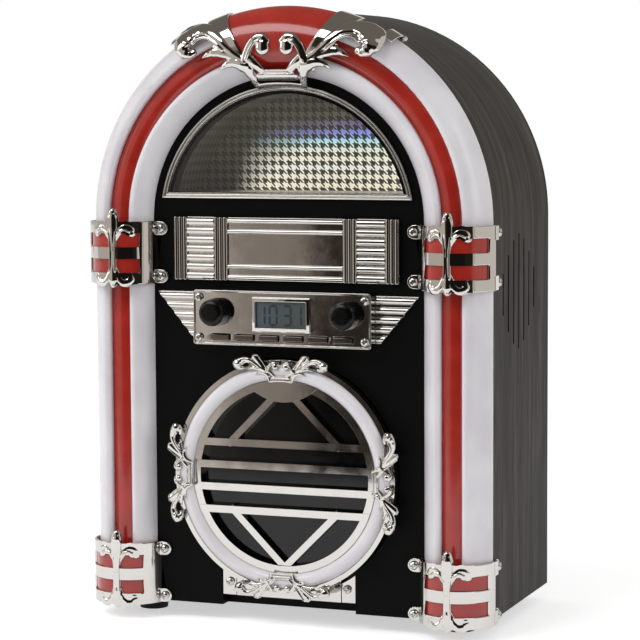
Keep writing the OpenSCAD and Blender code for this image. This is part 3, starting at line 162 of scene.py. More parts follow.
# Materials

def add(tree, kind, inputs=None, stops=(), **settings):
    """Adds a shader node with its settings, fills or links its inputs, and sets a ramp's colour stops."""
    made = tree.nodes.new(kind)
    for name, value in settings.items():
        setattr(made, name, value)
    for name, value in (inputs or {}).items():
        if isinstance(value, bpy.types.NodeSocket):
            tree.links.new(value, made.inputs[name])
        else:
            made.inputs[name].default_value = value
    if stops:
        marks = made.color_ramp.elements
        marks.remove(marks[1])
        marks[0].position, marks[0].color = stops[0]
        for position, colour in stops[1:]:
            marks.new(position).color = colour
    return made


def start(name, surface):
    """A new material with values on its shader, and its node tree, shader and object coordinates."""
    material = bpy.data.materials.new(name)
    material.use_nodes = True
    tree = material.node_tree
    shader = tree.nodes["Principled BSDF"]
    for socket, value in surface.items():
        shader.inputs[socket].default_value = value
    place = add(tree, "ShaderNodeTexCoord").outputs["Object"]
    return material, tree, shader, place


def texture(tree, shader, place, grain, rough, depth, strength):
    """Roughness between two values and a bump, both from noise of one grain size in metres."""
    noise = add(tree, "ShaderNodeTexNoise", {"Vector": place, "Scale": 1 / grain, "Detail": 3.0})
    spread = add(tree, "ShaderNodeMapRange", {
        "Value": noise.outputs["Fac"], "From Min": 0.3, "From Max": 0.7,
        "To Min": rough[0], "To Max": rough[1]})
    bump = add(tree, "ShaderNodeBump", {
        "Height": noise.outputs["Fac"], "Strength": strength, "Distance": depth})
    tree.links.new(spread.outputs["Result"], shader.inputs["Roughness"])
    tree.links.new(bump.outputs["Normal"], shader.inputs["Normal"])
    return noise


def chrome_plated_abs(colours):
    # Bright plating on moulded plastic: a clean mirror, a little wavy as mouldings are, with hazy patches.
    material, tree, shader, place = start("chrome_plated_abs", {
        "Base Color": colours.chrome, "Metallic": 1.0})
    texture(tree, shader, place, grain=11 * MM, rough=(0.035, 0.1), depth=0.12 * MM, strength=0.12)
    return material


def satin_plated_abs():
    # Darker satin plating on the push buttons, streaked across their width.
    material, tree, shader, place = start("satin_plated_abs", {
        "Base Color": linear("#746E69"), "Metallic": 1.0})
    streaks = add(tree, "ShaderNodeMapping", {"Vector": place, "Scale": (0.05, 1.0, 1.0)}).outputs["Vector"]
    texture(tree, shader, streaks, grain=0.4 * MM, rough=(0.12, 0.24), depth=0.02 * MM, strength=0.2)
    return material


def milky_acrylic(colours):
    # Milk-white light tubes: soft light inside the wall, a clear gloss, and a faint cloudiness.
    material, tree, shader, place = start("milk_white_acrylic", {
        "Subsurface Weight": 0.25, "Subsurface Scale": 3 * MM, "Subsurface Radius": (1.0, 0.95, 1.0),
        "IOR": 1.49, "Coat Weight": 0.3, "Coat Roughness": 0.06})
    cloud = texture(tree, shader, place, grain=26 * MM, rough=(0.16, 0.26), depth=0.05 * MM, strength=0.05)
    tint = add(tree, "ShaderNodeValToRGB", {"Fac": cloud.outputs["Fac"]}, [
        (0.3, colours.milky), (0.7, colours.milky_cloud)])
    tree.links.new(tint.outputs["Color"], shader.inputs["Base Color"])
    return material


def red_acrylic(colours):
    # Deep red translucent moulding: glossy, with faint paler clouds.
    material, tree, shader, place = start("red_acrylic", {
        "Subsurface Weight": 0.12, "Subsurface Scale": 2 * MM, "Subsurface Radius": (1.0, 0.1, 0.08),
        "IOR": 1.49, "Coat Weight": 0.35, "Coat Roughness": 0.05})
    cloud = texture(tree, shader, place, grain=18 * MM, rough=(0.14, 0.24), depth=0.05 * MM, strength=0.06)
    tint = add(tree, "ShaderNodeValToRGB", {"Fac": cloud.outputs["Fac"]}, [
        (0.3, colours.red), (0.7, colours.red_cloud)])
    tree.links.new(tint.outputs["Color"], shader.inputs["Base Color"])
    return material


def black_paint(colours):
    # Sprayed matte black on board: fine orange peel that breaks up what it reflects.
    material, tree, shader, place = start("matte_black_paint", {
        "Base Color": colours.black, "Specular IOR Level": 0.07})
    texture(tree, shader, place, grain=0.8 * MM, rough=(0.4, 0.55), depth=0.05 * MM, strength=0.25)
    return material


def ash_vinyl():
    # Dark ash-grain foil on board: long grey-brown streaks that follow the wrap, with fine pressed pores.
    material, tree, shader, place = start("ash_grain_vinyl", {"IOR": 1.5, "Specular IOR Level": 0.1})
    # The way along the wrap: up each side, and round the arch by its angle
    parts = add(tree, "ShaderNodeSeparateXYZ", {"Vector": place}).outputs
    up = add(tree, "ShaderNodeMath", {0: parts["Z"], 1: ARCH_Z}, operation="SUBTRACT").outputs[0]
    over = add(tree, "ShaderNodeMath", {0: up, 1: 0.0}, operation="MAXIMUM").outputs[0]
    under = add(tree, "ShaderNodeMath", {0: up, 1: 0.0}, operation="MINIMUM").outputs[0]
    angle = add(tree, "ShaderNodeMath", {0: over, 1: parts["X"]}, operation="ARCTAN2").outputs[0]
    side = add(tree, "ShaderNodeMath", {0: parts["X"]}, operation="SIGN").outputs[0]
    leg = add(tree, "ShaderNodeMath", {0: side, 1: under}, operation="MULTIPLY").outputs[0]
    along = add(tree, "ShaderNodeMath", {0: angle, 1: CABINET_R, 2: leg}, operation="MULTIPLY_ADD").outputs[0]
    sheet = add(tree, "ShaderNodeCombineXYZ", {"X": along, "Y": parts["Y"]}).outputs["Vector"]
    # Broad figure, and fine streaks in it, each with its length along the wrap and its width across
    figure_size, streak_size, streak_share = (200 * MM, 9 * MM), (35 * MM, 1.1 * MM), 0.45
    broad = add(tree, "ShaderNodeMapping", {
        "Vector": sheet, "Scale": (1 / figure_size[0], 1 / figure_size[1], 1.0)}).outputs["Vector"]
    figure = add(tree, "ShaderNodeTexNoise", {
        "Vector": broad, "Scale": 1.0, "Detail": 4.0, "Roughness": 0.6, "Distortion": 0.4}).outputs["Fac"]
    fine = add(tree, "ShaderNodeMapping", {
        "Vector": sheet, "Scale": (1 / streak_size[0], 1 / streak_size[1], 1.0)}).outputs["Vector"]
    streak = add(tree, "ShaderNodeTexNoise", {"Vector": fine, "Scale": 1.0, "Detail": 3.0}).outputs["Fac"]
    both = add(tree, "ShaderNodeMath", {
        0: streak, 1: streak_share, 2: figure}, operation="MULTIPLY_ADD").outputs[0]
    tint = add(tree, "ShaderNodeValToRGB", {"Fac": both}, [
        (0.5, linear("#120F0C")), (0.68, linear("#231F1B")), (0.8, linear("#36312B")),
        (0.94, linear("#4A443C"))])
    rough = add(tree, "ShaderNodeMapRange", {"Value": streak, "To Min": 0.62, "To Max": 0.42})
    bump = add(tree, "ShaderNodeBump", {"Height": both, "Strength": 0.35, "Distance": 0.12 * MM})
    tree.links.new(tint.outputs["Color"], shader.inputs["Base Color"])
    tree.links.new(rough.outputs["Result"], shader.inputs["Roughness"])
    tree.links.new(bump.outputs["Normal"], shader.inputs["Normal"])
    return material


def prism_foil():
    # Embossed prism foil: a broken-check lattice whose cells glow with painted warm white and rainbow light
    # on a painted lit side.
    material, tree, shader, place = start("prism_foil", {"Metallic": 0.4, "Emission Strength": 0.85})
    thread, patch_size = 0.74 * MM, 38 * MM
    parts = add(tree, "ShaderNodeSeparateXYZ", {"Vector": place}).outputs
    # On the curved wall the lattice runs along the depth instead of across
    depth = add(tree, "ShaderNodeMath", {0: parts["X"], 1: parts["Y"]}, operation="ADD").outputs[0]
    across = add(tree, "ShaderNodeMath", {0: depth, 1: thread}, operation="DIVIDE").outputs[0]
    rows = add(tree, "ShaderNodeMath", {0: parts["Z"], 1: thread}, operation="DIVIDE").outputs[0]

    def stripe(value, period):
        """1 on the first half of each period of threads, 0 on the rest."""
        left = add(tree, "ShaderNodeMath", {0: value, 1: float(period)}, operation="FLOORED_MODULO")
        on = add(tree, "ShaderNodeMath", {0: left.outputs[0], 1: period / 2}, operation="LESS_THAN")
        return on.outputs[0]

    slant = add(tree, "ShaderNodeMath", {0: across, 1: rows}, operation="ADD").outputs[0]
    lattice = add(tree, "ShaderNodeMix", {
        "Factor": stripe(slant, 4), 2: stripe(rows, 8), 3: stripe(across, 8)}, data_type="FLOAT").outputs[0]
    # The painted lit side is low and to the right: the painted light grows with the distances from a left and
    # a top line
    painted_light_left, painted_light_top = -60 * MM, ARCH_Z + 70 * MM
    dim, full = 250 * MM ** 2, 1300 * MM ** 2
    from_left = add(tree, "ShaderNodeMath", {
        0: parts["X"], 1: painted_light_left}, operation="SUBTRACT", use_clamp=True).outputs[0]
    from_top = add(tree, "ShaderNodeMath", {
        0: painted_light_top, 1: parts["Z"]}, operation="SUBTRACT", use_clamp=True).outputs[0]
    light = add(tree, "ShaderNodeMath", {0: from_left, 1: from_top}, operation="MULTIPLY").outputs[0]
    painted_lit_share = add(tree, "ShaderNodeMapRange", {
        "Value": light, "From Min": dim, "From Max": full}).outputs["Result"]
    # Upwards the painted light breaks from warm white into rainbow bands
    white_z, violet_z = ARCH_Z + 23 * MM, ARCH_Z + 61 * MM
    height = add(tree, "ShaderNodeMapRange", {
        "Value": parts["Z"], "From Min": white_z, "From Max": violet_z}).outputs["Result"]
    painted_glow_hue = add(tree, "ShaderNodeValToRGB", {"Fac": height}, [
        (0.0, linear("#F4EDD6")), (0.3, linear("#F2F2E8")), (0.45, linear("#F6F2DC")),
        (0.64, linear("#DCF2E0")), (0.76, linear("#A6E2F2")), (0.86, linear("#7892F0")),
        (1.0, linear("#7A6CC4"))]).outputs["Color"]
    bright = add(tree, "ShaderNodeMath", {0: 1.0, 1: lattice}, operation="SUBTRACT").outputs[0]
    painted_glow = add(tree, "ShaderNodeMath", {0: painted_lit_share, 1: bright}, operation="MULTIPLY").outputs[0]
    painted_glow_colour = add(tree, "ShaderNodeMix", {
        "Factor": painted_glow, 6: linear("#000000"), 7: painted_glow_hue}, data_type="RGBA").outputs[2]
    patch = add(tree, "ShaderNodeTexNoise", {
        "Vector": place, "Scale": 1 / patch_size, "Detail": 2.0}).outputs["Fac"]
    check = add(tree, "ShaderNodeValToRGB", {"Fac": patch}, [
        (0.3, linear("#9A968B")), (0.55, linear("#B4AFA3")), (0.75, linear("#CBC5B8"))]).outputs["Color"]
    shade = add(tree, "ShaderNodeMix", {
        "Factor": lattice, 6: check, 7: linear("#7B776E")}, data_type="RGBA").outputs[2]
    rough = add(tree, "ShaderNodeMapRange", {"Value": patch, "To Min": 0.25, "To Max": 0.5})
    bump = add(tree, "ShaderNodeBump", {"Height": lattice, "Strength": 0.4, "Distance": 0.15 * MM})
    tree.links.new(shade, shader.inputs["Base Color"])
    # The painted glow goes into the emission, so these cells shine though the foil is no lamp
    tree.links.new(painted_glow_colour, shader.inputs["Emission Color"])
    tree.links.new(rough.outputs["Result"], shader.inputs["Roughness"])
    tree.links.new(bump.outputs["Normal"], shader.inputs["Normal"])
    return material


def clear_acrylic():
    # Clear window sheet: seen through, with the thin reflection of a polished face.
    material, tree, shader, place = start("clear_acrylic_sheet", {
        "Base Color": linear("#F2F5F5"), "Metallic": 1.0})
    gloss = add(tree, "ShaderNodeFresnel", {"IOR": 1.4})
    texture(tree, shader, place, grain=30 * MM, rough=(0.03, 0.08), depth=0.04 * MM, strength=0.04)
    tree.links.new(gloss.outputs["Fac"], shader.inputs["Alpha"])
    return material


def smoked_acrylic():
    # Smoked door window: almost black, polished, with a slight ripple in what it mirrors.
    material, tree, shader, place = start("smoked_acrylic", {
        "Base Color": linear("#070708"), "IOR": 1.49, "Specular IOR Level": 0.38})
    texture(tree, shader, place, grain=20 * MM, rough=(0.05, 0.12), depth=0.06 * MM, strength=0.06)
    return material


def moulded_plastic(name, code, grain, rough, depth):
    # Plain moulding: one colour with a fine spark-eroded texture from its mould.
    material, tree, shader, place = start(name, {"IOR": 1.5})
    noise = texture(tree, shader, place, grain, rough, depth, strength=0.3)
    colour, paler = linear(code), 1.35
    high_spots = tuple(min(1.0, c * paler) for c in colour[:3]) + (1.0,)
    tint = add(tree, "ShaderNodeMix", {
        "Factor": noise.outputs["Fac"], 6: colour, 7: high_spots}, data_type="RGBA")
    tree.links.new(tint.outputs[2], shader.inputs["Base Color"])
    return material


def polished_black():
    # Glossy black knobs: deep black under a clear polish with faint handling marks.
    material, tree, shader, place = start("polished_black_abs", {
        "Base Color": linear("#050506"), "Specular IOR Level": 0.2, "Coat Weight": 0.08,
        "Coat Roughness": 0.05})
    texture(tree, shader, place, grain=4 * MM, rough=(0.2, 0.32), depth=0.03 * MM, strength=0.08)
    return material


def metal(name, code, grain, rough, stretch=(1.0, 1.0, 1.0)):
    # Machined or pressed metal: a satin sheen with marks of its making.
    material, tree, shader, place = start(name, {"Base Color": linear(code), "Metallic": 1.0})
    marks = add(tree, "ShaderNodeMapping", {"Vector": place, "Scale": stretch}).outputs["Vector"]
    texture(tree, shader, marks, grain, rough, depth=0.03 * MM, strength=0.25)
    return material


def display_glass():
    # Reflective display: blue-grey cell that darkens to one side, under flat glass.
    material, tree, shader, place = start("display_glass", {
        "IOR": 1.5, "Coat Weight": 0.25, "Coat Roughness": 0.04})
    parts = add(tree, "ShaderNodeSeparateXYZ", {"Vector": place}).outputs
    spread = add(tree, "ShaderNodeMapRange", {
        "Value": parts["X"], "From Min": DISPLAY_LOW.x, "From Max": DISPLAY_HIGH.x}).outputs["Result"]
    tint = add(tree, "ShaderNodeValToRGB", {"Fac": spread}, [
        (0.1, linear("#525E66")), (0.5, linear("#4B5558")), (0.9, linear("#4E5655"))])
    tree.links.new(tint.outputs["Color"], shader.inputs["Base Color"])
    texture(tree, shader, place, grain=9 * MM, rough=(0.1, 0.18), depth=0.02 * MM, strength=0.04)
    return material


def circuit_board():
    # Green solder mask over copper tracks, with a slight weave.
    material, tree, shader, place = start("circuit_board", {
        "IOR": 1.5, "Coat Weight": 0.3, "Coat Roughness": 0.15})
    tracks = add(tree, "ShaderNodeTexBrick", {
        "Vector": place, "Scale": 1 / (9 * MM), "Color1": linear("#0F4A2A"), "Color2": linear("#125330"),
        "Mortar": linear("#1E6B3F"), "Mortar Size": 0.03})
    tree.links.new(tracks.outputs["Color"], shader.inputs["Base Color"])
    texture(tree, shader, place, grain=1.2 * MM, rough=(0.3, 0.5), depth=0.03 * MM, strength=0.2)
    return material


# Ways of building

# Faces nearer than the first angle to one plane are made one, and edges softer than the second look smooth
FLAT_ANGLE, SMOOTH_ANGLE = math.radians(0.6), math.radians(38)


def deselect():
    """Leaves nothing selected."""
    bpy.ops.object.select_all(action="DESELECT")


def select_only(thing):
    """Selects one object alone, and makes it the active one."""
    deselect()
    thing.select_set(True)
    bpy.context.view_layer.objects.active = thing


def copy_of(thing):
    """A copy of an object, with a mesh of its own."""
    select_only(thing)
    bpy.ops.object.duplicate()
    return bpy.context.object


def sheet_object(name, points, faces):
    """A new object from points and faces."""
    mesh = bpy.data.meshes.new(name)
    mesh.from_pydata(points, [], faces)
    thing = bpy.data.objects.new(name, mesh)
    bpy.context.scene.collection.objects.link(thing)
    return thing


def paint(names, material):
    """Gives CAD nodes a material."""
    for name in names:
        thing = frame["nodes"][name]
        if not thing.material_slots:
            thing.data.materials.append(material)
        for slot in thing.material_slots:
            slot.material = material


def dress(piece, name, material, body, nodes=()):
    """Names a finished piece, gives it its material, ties it to its body, and hides the CAD nodes it stands
    for.
    """
    piece.name = name
    piece.data.name = name
    piece.data.materials.clear()
    piece.data.materials.append(material)
    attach(piece, body)
    if nodes:
        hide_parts(*nodes)


def apply_modifier(piece, kind, **settings):
    """Adds a modifier to a piece, sets it and applies it."""
    bpy.context.view_layer.objects.active = piece
    bpy.ops.object.modifier_add(type=kind)
    made = piece.modifiers[-1]
    for name, value in settings.items():
        setattr(made, name, value)
    bpy.ops.object.modifier_apply(modifier=made.name)


def joined_copy(name, weld=0.002 * MM):
    """A free copy of a CAD node, with its loose triangles joined and its flat faces made whole."""
    piece = copy_of(frame["nodes"][name])
    del piece["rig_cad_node"]
    bpy.ops.object.parent_clear(type="CLEAR_KEEP_TRANSFORM")
    bpy.ops.mesh.customdata_custom_splitnormals_clear()
    bpy.ops.object.mode_set(mode="EDIT")
    bpy.ops.mesh.select_all(action="SELECT")
    bpy.ops.mesh.remove_doubles(threshold=weld)
    bpy.ops.mesh.dissolve_limited(angle_limit=FLAT_ANGLE)
    bpy.ops.mesh.normals_make_consistent(inside=False)
    bpy.ops.object.mode_set(mode="OBJECT")
    return piece


def room_beside(edge, most):
    """How far the faces beside an edge reach from its ends, up to a length."""
    # Cosine past which a neighbouring edge only carries the same line on
    straight_on = 0.87
    run = (edge.verts[1].co - edge.verts[0].co).normalized()
    for corner in edge.verts:
        for other in corner.link_edges:
            away = other.other_vert(corner).co - corner.co
            if abs(away.normalized().dot(run)) < straight_on:
                most = min(most, away.length)
    return most


def round_over(piece, radius, segments, limit=32, chosen=lambda corner: True, clamp=False):
    """Rounds a piece's edges that are sharper than a limit in degrees and whose ends are chosen."""
    shape = bmesh.new()
    shape.from_mesh(piece.data)
    weight = shape.edges.layers.float.new("bevel_weight_edge")
    # An edge with less room beside it than this gets a smaller round
    room = 2.2 * radius
    for edge in shape.edges:
        sharp = edge.calc_face_angle(0.0) > math.radians(limit)
        if sharp and all(chosen(corner.co) for corner in edge.verts):
            edge[weight] = room_beside(edge, room) / room
    shape.to_mesh(piece.data)
    shape.free()
    select_only(piece)
    apply_modifier(
        piece, "BEVEL", width=radius, segments=segments, limit_method="WEIGHT", use_clamp_overlap=clamp,
        loop_slide=False, miter_outer="MITER_ARC")
    bpy.ops.object.shade_smooth_by_angle(angle=SMOOTH_ANGLE)
    apply_modifier(piece, "WEIGHTED_NORMAL", mode="FACE_AREA", weight=90, keep_sharp=True)
    return piece


def strand(points, flat, lift=0.0):
    """A smooth tapered strand through (x, up, radius) points in mm, flattened in depth, lifted forwards."""
    deselect()
    bpy.ops.curve.primitive_bezier_curve_add()
    thing = bpy.context.object
    curve = thing.data
    curve.bevel_depth = 1 * MM
    curve.bevel_resolution = 5
    curve.use_fill_caps = True
    spline = curve.splines[0]
    spline.resolution_u = 8
    spline.radius_interpolation = "EASE"
    spline.bezier_points.add(len(points) - 2)
    for point, (x, up, radius) in zip(spline.bezier_points, points):
        point.co = (x * MM, 0.0, up * MM)
        point.radius = radius
        point.handle_left_type = point.handle_right_type = "AUTO"
    bpy.ops.object.convert(target="MESH")
    thing.data.transform(Matrix.Translation((0, -lift * MM, 0)) @ Matrix.Diagonal((1.0, flat, 1.0, 1.0)))
    tips = [pearl(x, up, radius, flat, lift) for x, up, radius in (points[0], points[-1])]
    return join([thing] + tips)


def pearl(x, up, radius, flat, lift):
    """A flattened pearl at a place in mm, which closes a strand's end."""
    deselect()
    bpy.ops.mesh.primitive_uv_sphere_add(segments=24, ring_count=12, radius=radius * MM)
    thing = bpy.context.object
    thing.data.transform(
        Matrix.Translation((x * MM, -lift * MM, up * MM)) @ Matrix.Diagonal((1.0, flat, 1.0, 1.0)))
    return thing


def join(things):
    """Joins objects into the first one."""
    deselect()
    for thing in things:
        thing.select_set(True)
    bpy.context.view_layer.objects.active = things[0]
    bpy.ops.object.join()
    return things[0]


def cast(things, voxel):
    """Joins half an ornament's strands, mirrors them, and fuses all into one smooth casting."""
    thing = join(things)
    apply_modifier(thing, "MIRROR", use_axis=(True, False, False), use_mirror_merge=False)
    thing.data.remesh_voxel_size = voxel
    select_only(thing)
    bpy.ops.object.voxel_remesh()
    apply_modifier(thing, "SMOOTH", factor=0.5, iterations=12)
    bpy.ops.object.shade_smooth()
    return thing


# Scrollwork, drawn in mm around the foot of its middle line: x to the right, up along the line, then a radius

VOLUTE = [
    (22, 14.5, 2.3), (31, 20.6, 3.2), (38.6, 27, 3.9), (45.6, 32, 4.3), (51.6, 33.8, 4.5), (57, 33, 5.2),
    (61.6, 30.2, 6.8), (64.2, 26.6, 8.4), (64, 23.4, 7.8), (62, 20.4, 5.6), (59.2, 19, 3.8),
    (56.8, 19.4, 2.6)]
VOLUTE_LIP = [
    (35.6, 20.8, 0.9), (43, 26.8, 1.2), (49, 29.2, 1.4), (54, 28.2, 1.5), (57, 25.2, 1.4)]
UPPER_LEAF = [
    (23, 14.4, 2.4), (29.6, 17.2, 3.2), (36, 19, 3.4), (41.4, 19.4, 3.0), (46, 18.2, 2.0), (50, 16, 0.6)]
UPPER_LOBE = [(32, 18.8, 2.6), (36.8, 21.4, 2.4), (42.6, 23.2, 0.8)]
LOWER_LEAF = [
    (18.6, 7, 3.4), (22.6, 10.8, 4.2), (27, 12.4, 3.6), (31.4, 12, 2.7), (35.2, 10.2, 1.7), (38, 8.2, 0.6)]
LOWER_LOBE = [(24, 13, 2.2), (28.4, 15, 1.8), (32.4, 14.6, 0.6)]
CANE = [
    (20.8, 13, 3.0), (18.9, 19.4, 2.9), (15.9, 24.9, 2.9), (12.3, 28.3, 3.0), (8.5, 28.6, 3.1),
    (5.6, 26.2, 2.6)]
CANE_LIP = [(19.2, 14.6, 0.8), (16.6, 20.6, 0.9), (13.4, 25, 0.9), (10.4, 26.4, 0.9)]
DROP = [(8.2, 23.8, 4.6), (8.2, 22, 4.9)]
INNER_LEG = [(19, 17, 3.0), (14.4, 12.2, 3.1), (10.2, 7.6, 2.6)]
OUTER_LEG = [(20.6, 10, 3.6), (18.6, 5, 2.8), (17.2, 1.4, 2.4), (16.4, -1.4, 2.2)]
TRAY_BARS = [[(0, 7.2, 0.9), (8, 7.2, 0.9)], [(0, 3.4, 2.3), (12.5, 3.2, 2.3)]]
FOOT_BAR = [(0, -1.4, 1.5), (9, -1.8, 1.5), (16.4, -2.9, 1.6)]
STRAP_BLADE = [(20.4, 11, 3.4), (25.4, 18.4, 4.2), (30.8, 26.6, 5.0), (35.6, 34, 5.4), (38.4, 38, 5.2)]
STRAP_EDGE = [
    (16.6, 13.6, 0.7), (22.4, 23.6, 0.8), (30, 35.6, 0.8), (35, 41.6, 0.7), (42.6, 36, 0.7), (30.8, 18, 0.7)]
VEIN_R = 0.5
# The crest's foot is set back below this height, by this much for each square mm
LEAN_UP, LEAN = 14.0, 0.042


def scrollwork(voxel, lean, blades=False):
    """Both halves of the scrollwork as one casting; blades stand for straps where there are none."""
    things = []
    if blades:
        things += [strand(STRAP_BLADE, flat=0.4), strand(STRAP_EDGE, flat=1.0, lift=1.4)]
    things += [strand(VOLUTE, flat=0.66), strand(VOLUTE_LIP, flat=1.0, lift=1.6)]
    for leaf in (UPPER_LEAF, LOWER_LEAF):
        vein = [(x, up, VEIN_R) for x, up, _ in leaf[:-1]]
        things += [strand(leaf, flat=0.5), strand(vein, flat=1.0, lift=1.0)]
    things += [strand(points, flat=0.55) for points in (UPPER_LOBE, LOWER_LOBE, INNER_LEG, OUTER_LEG)]
    things += [strand(CANE, flat=0.7), strand(CANE_LIP, flat=1.0, lift=1.7), strand(DROP, flat=0.58)]
    things += [strand(points, flat=0.8) for points in TRAY_BARS + [FOOT_BAR]]
    piece = cast(things, voxel)
    for point in piece.data.vertices:
        point.co.y += lean / MM * max(0.0, LEAN_UP * MM - point.co.z) ** 2
    return piece


# A bracket's fleur, drawn the same way around the bracket's middle

BLADE = [
    (0, -21, 2.2), (0, -18, 3.6), (0, -13, 3.3), (0, -7, 2.7), (0, 3, 2.6), (0, 11, 3.2), (0, 18, 4.0),
    (0, 23.4, 4.0), (0, 26.8, 3.0)]
BLADE_EDGE = [
    (1.8, -12, 0.6), (1.6, -3, 0.6), (1.7, 6, 0.6), (2.6, 14, 0.6), (3.1, 20.6, 0.6), (1.8, 26, 0.6)]
UPPER_HOOK = [
    (1.4, 9, 2.0), (3.4, 12.8, 2.4), (6, 15.8, 2.7), (9.2, 17, 2.9), (12.2, 15.6, 2.9), (12.6, 12.8, 2.4)]
LOWER_HOOK = [
    (1.6, -11, 2.0), (3.2, -15, 2.6), (5.6, -18.4, 2.9), (8.8, -19.6, 3.1), (11.8, -17.8, 3.0),
    (11.8, -15, 2.5)]
# The lip along an upper hook: its place against the hook, and its radius
HOOK_LIP_IN, HOOK_LIP_DOWN, HOOK_LIP_R = 1.2, 1.6, 0.6
# From a bracket's top edge down to the fleur's middle, and how deep the fleur sits in the straps
FLEUR_DROP, FLEUR_SINK = 29.64, 1.2


def fleur(voxel, strap_round):
    """A bracket's blade and four hooks as one casting, bent round the straps."""
    lip = [(x - HOOK_LIP_IN, up - HOOK_LIP_DOWN, HOOK_LIP_R) for x, up, _ in UPPER_HOOK[:-1]]
    piece = cast([
        strand(BLADE, flat=0.72), strand(BLADE_EDGE, flat=1.0, lift=1.7), strand(UPPER_HOOK, flat=0.6),
        strand(LOWER_HOOK, flat=0.6), strand(lip, flat=1.0, lift=1.5)], voxel)
    for point in piece.data.vertices:
        point.co.y += strap_round - math.sqrt(strap_round ** 2 - point.co.x ** 2)
    return piece


def sheet_strap(path, thickness):
    """A plated strap round the arch, through (radius, rise, left, right) stations in mm."""
    points, faces = [], []
    columns = 8
    row = columns + 1
    for radius, rise, left, right in path:
        for j in range(row):
            x = left + (right - left) * j / columns
            points.append((x * MM, FACE_Y - rise * MM, ARCH_Z + math.sqrt(radius * radius - x * x) * MM))
    for i in range(len(path) - 1):
        for a in range(i * row, i * row + columns):
            faces.append((a, a + 1, a + row + 1, a + row))
    thing = sheet_object("strap", points, faces)
    select_only(thing)
    apply_modifier(thing, "SOLIDIFY", thickness=thickness, offset=-1.0)
    apply_modifier(thing, "BEVEL", width=thickness * 0.3, segments=2, limit_method="ANGLE")
    bpy.ops.object.mode_set(mode="EDIT")
    bpy.ops.mesh.select_all(action="SELECT")
    bpy.ops.mesh.normals_make_consistent(inside=False)
    bpy.ops.object.mode_set(mode="OBJECT")
    bpy.ops.object.shade_smooth_by_angle(angle=SMOOTH_ANGLE)
    return thing


# Operators

class JukeboxOperator:
    """What all the dressing steps share."""
    bl_options = {"REGISTER", "UNDO"}

    @property
    def sizes(self):
        return bpy.context.scene.jukebox_sizes

    @property
    def colours(self):
        return bpy.context.scene.jukebox_colours


class JUKEBOX_OT_cabinet(JukeboxOperator, bpy.types.Operator):
    """Finish the cabinet, baffle, base, back and feet"""
    bl_idname = "jukebox.cabinet"
    bl_label = "Finish cabinet"

    def execute(self, context):
        paint(["cabinet_shell"], ash_vinyl())
        paint(["front_baffle", "base_board", "rear_cover"], black_paint(self.colours))
        rubber = moulded_plastic("black_rubber", "#121212", grain=0.6 * MM, rough=(0.7, 0.9), depth=0.08 * MM)
        paint(["rubber_feet"], rubber)
        oxide = metal("black_oxide_screw", "#2A2A2B", grain=0.5 * MM, rough=(0.3, 0.5))
        paint(["rear_cover_screws"], oxide)
        return {"FINISHED"}


class JUKEBOX_OT_lights(JukeboxOperator, bpy.types.Operator):
    """Finish the light tubes, red strip, sleeves and the strips of lamps behind them"""
    bl_idname = "jukebox.lights"
    bl_label = "Finish light tubes"

    def execute(self, context):
        paint(["outer_light_tube", "inner_light_tube"], milky_acrylic(self.colours))
        paint(["red_light_strip", "crown_sleeve", "bracket_sleeves"], red_acrylic(self.colours))
        strip = moulded_plastic("lamp_strip", "#EDE9DC", grain=2 * MM, rough=(0.4, 0.6), depth=0.05 * MM)
        paint(["outer_led_strip", "inner_led_strip"], strip)
        return {"FINISHED"}


class JUKEBOX_OT_trim(JukeboxOperator, bpy.types.Operator):
    """Round over the plated bezel, plate, panel, wings and hinge blocks, and finish the trim's screws"""
    bl_idname = "jukebox.trim"
    bl_label = "Round plated trim"

    def execute(self, context):
        chrome = chrome_plated_abs(self.colours)
        for name in PLATED:
            piece = round_over(joined_copy(name), self.sizes.trim_edge, self.sizes.edge_segments,
                               clamp=name == "window_bezel")
            dress(piece, name + "_plated", chrome, "cabinet", [name])
        screws = metal("zinc_plated_screw", "#C4C2BF", grain=0.7 * MM, rough=(0.16, 0.3))
        paint(["trim_screws", "panel_screws"], screws)
        return {"FINISHED"}


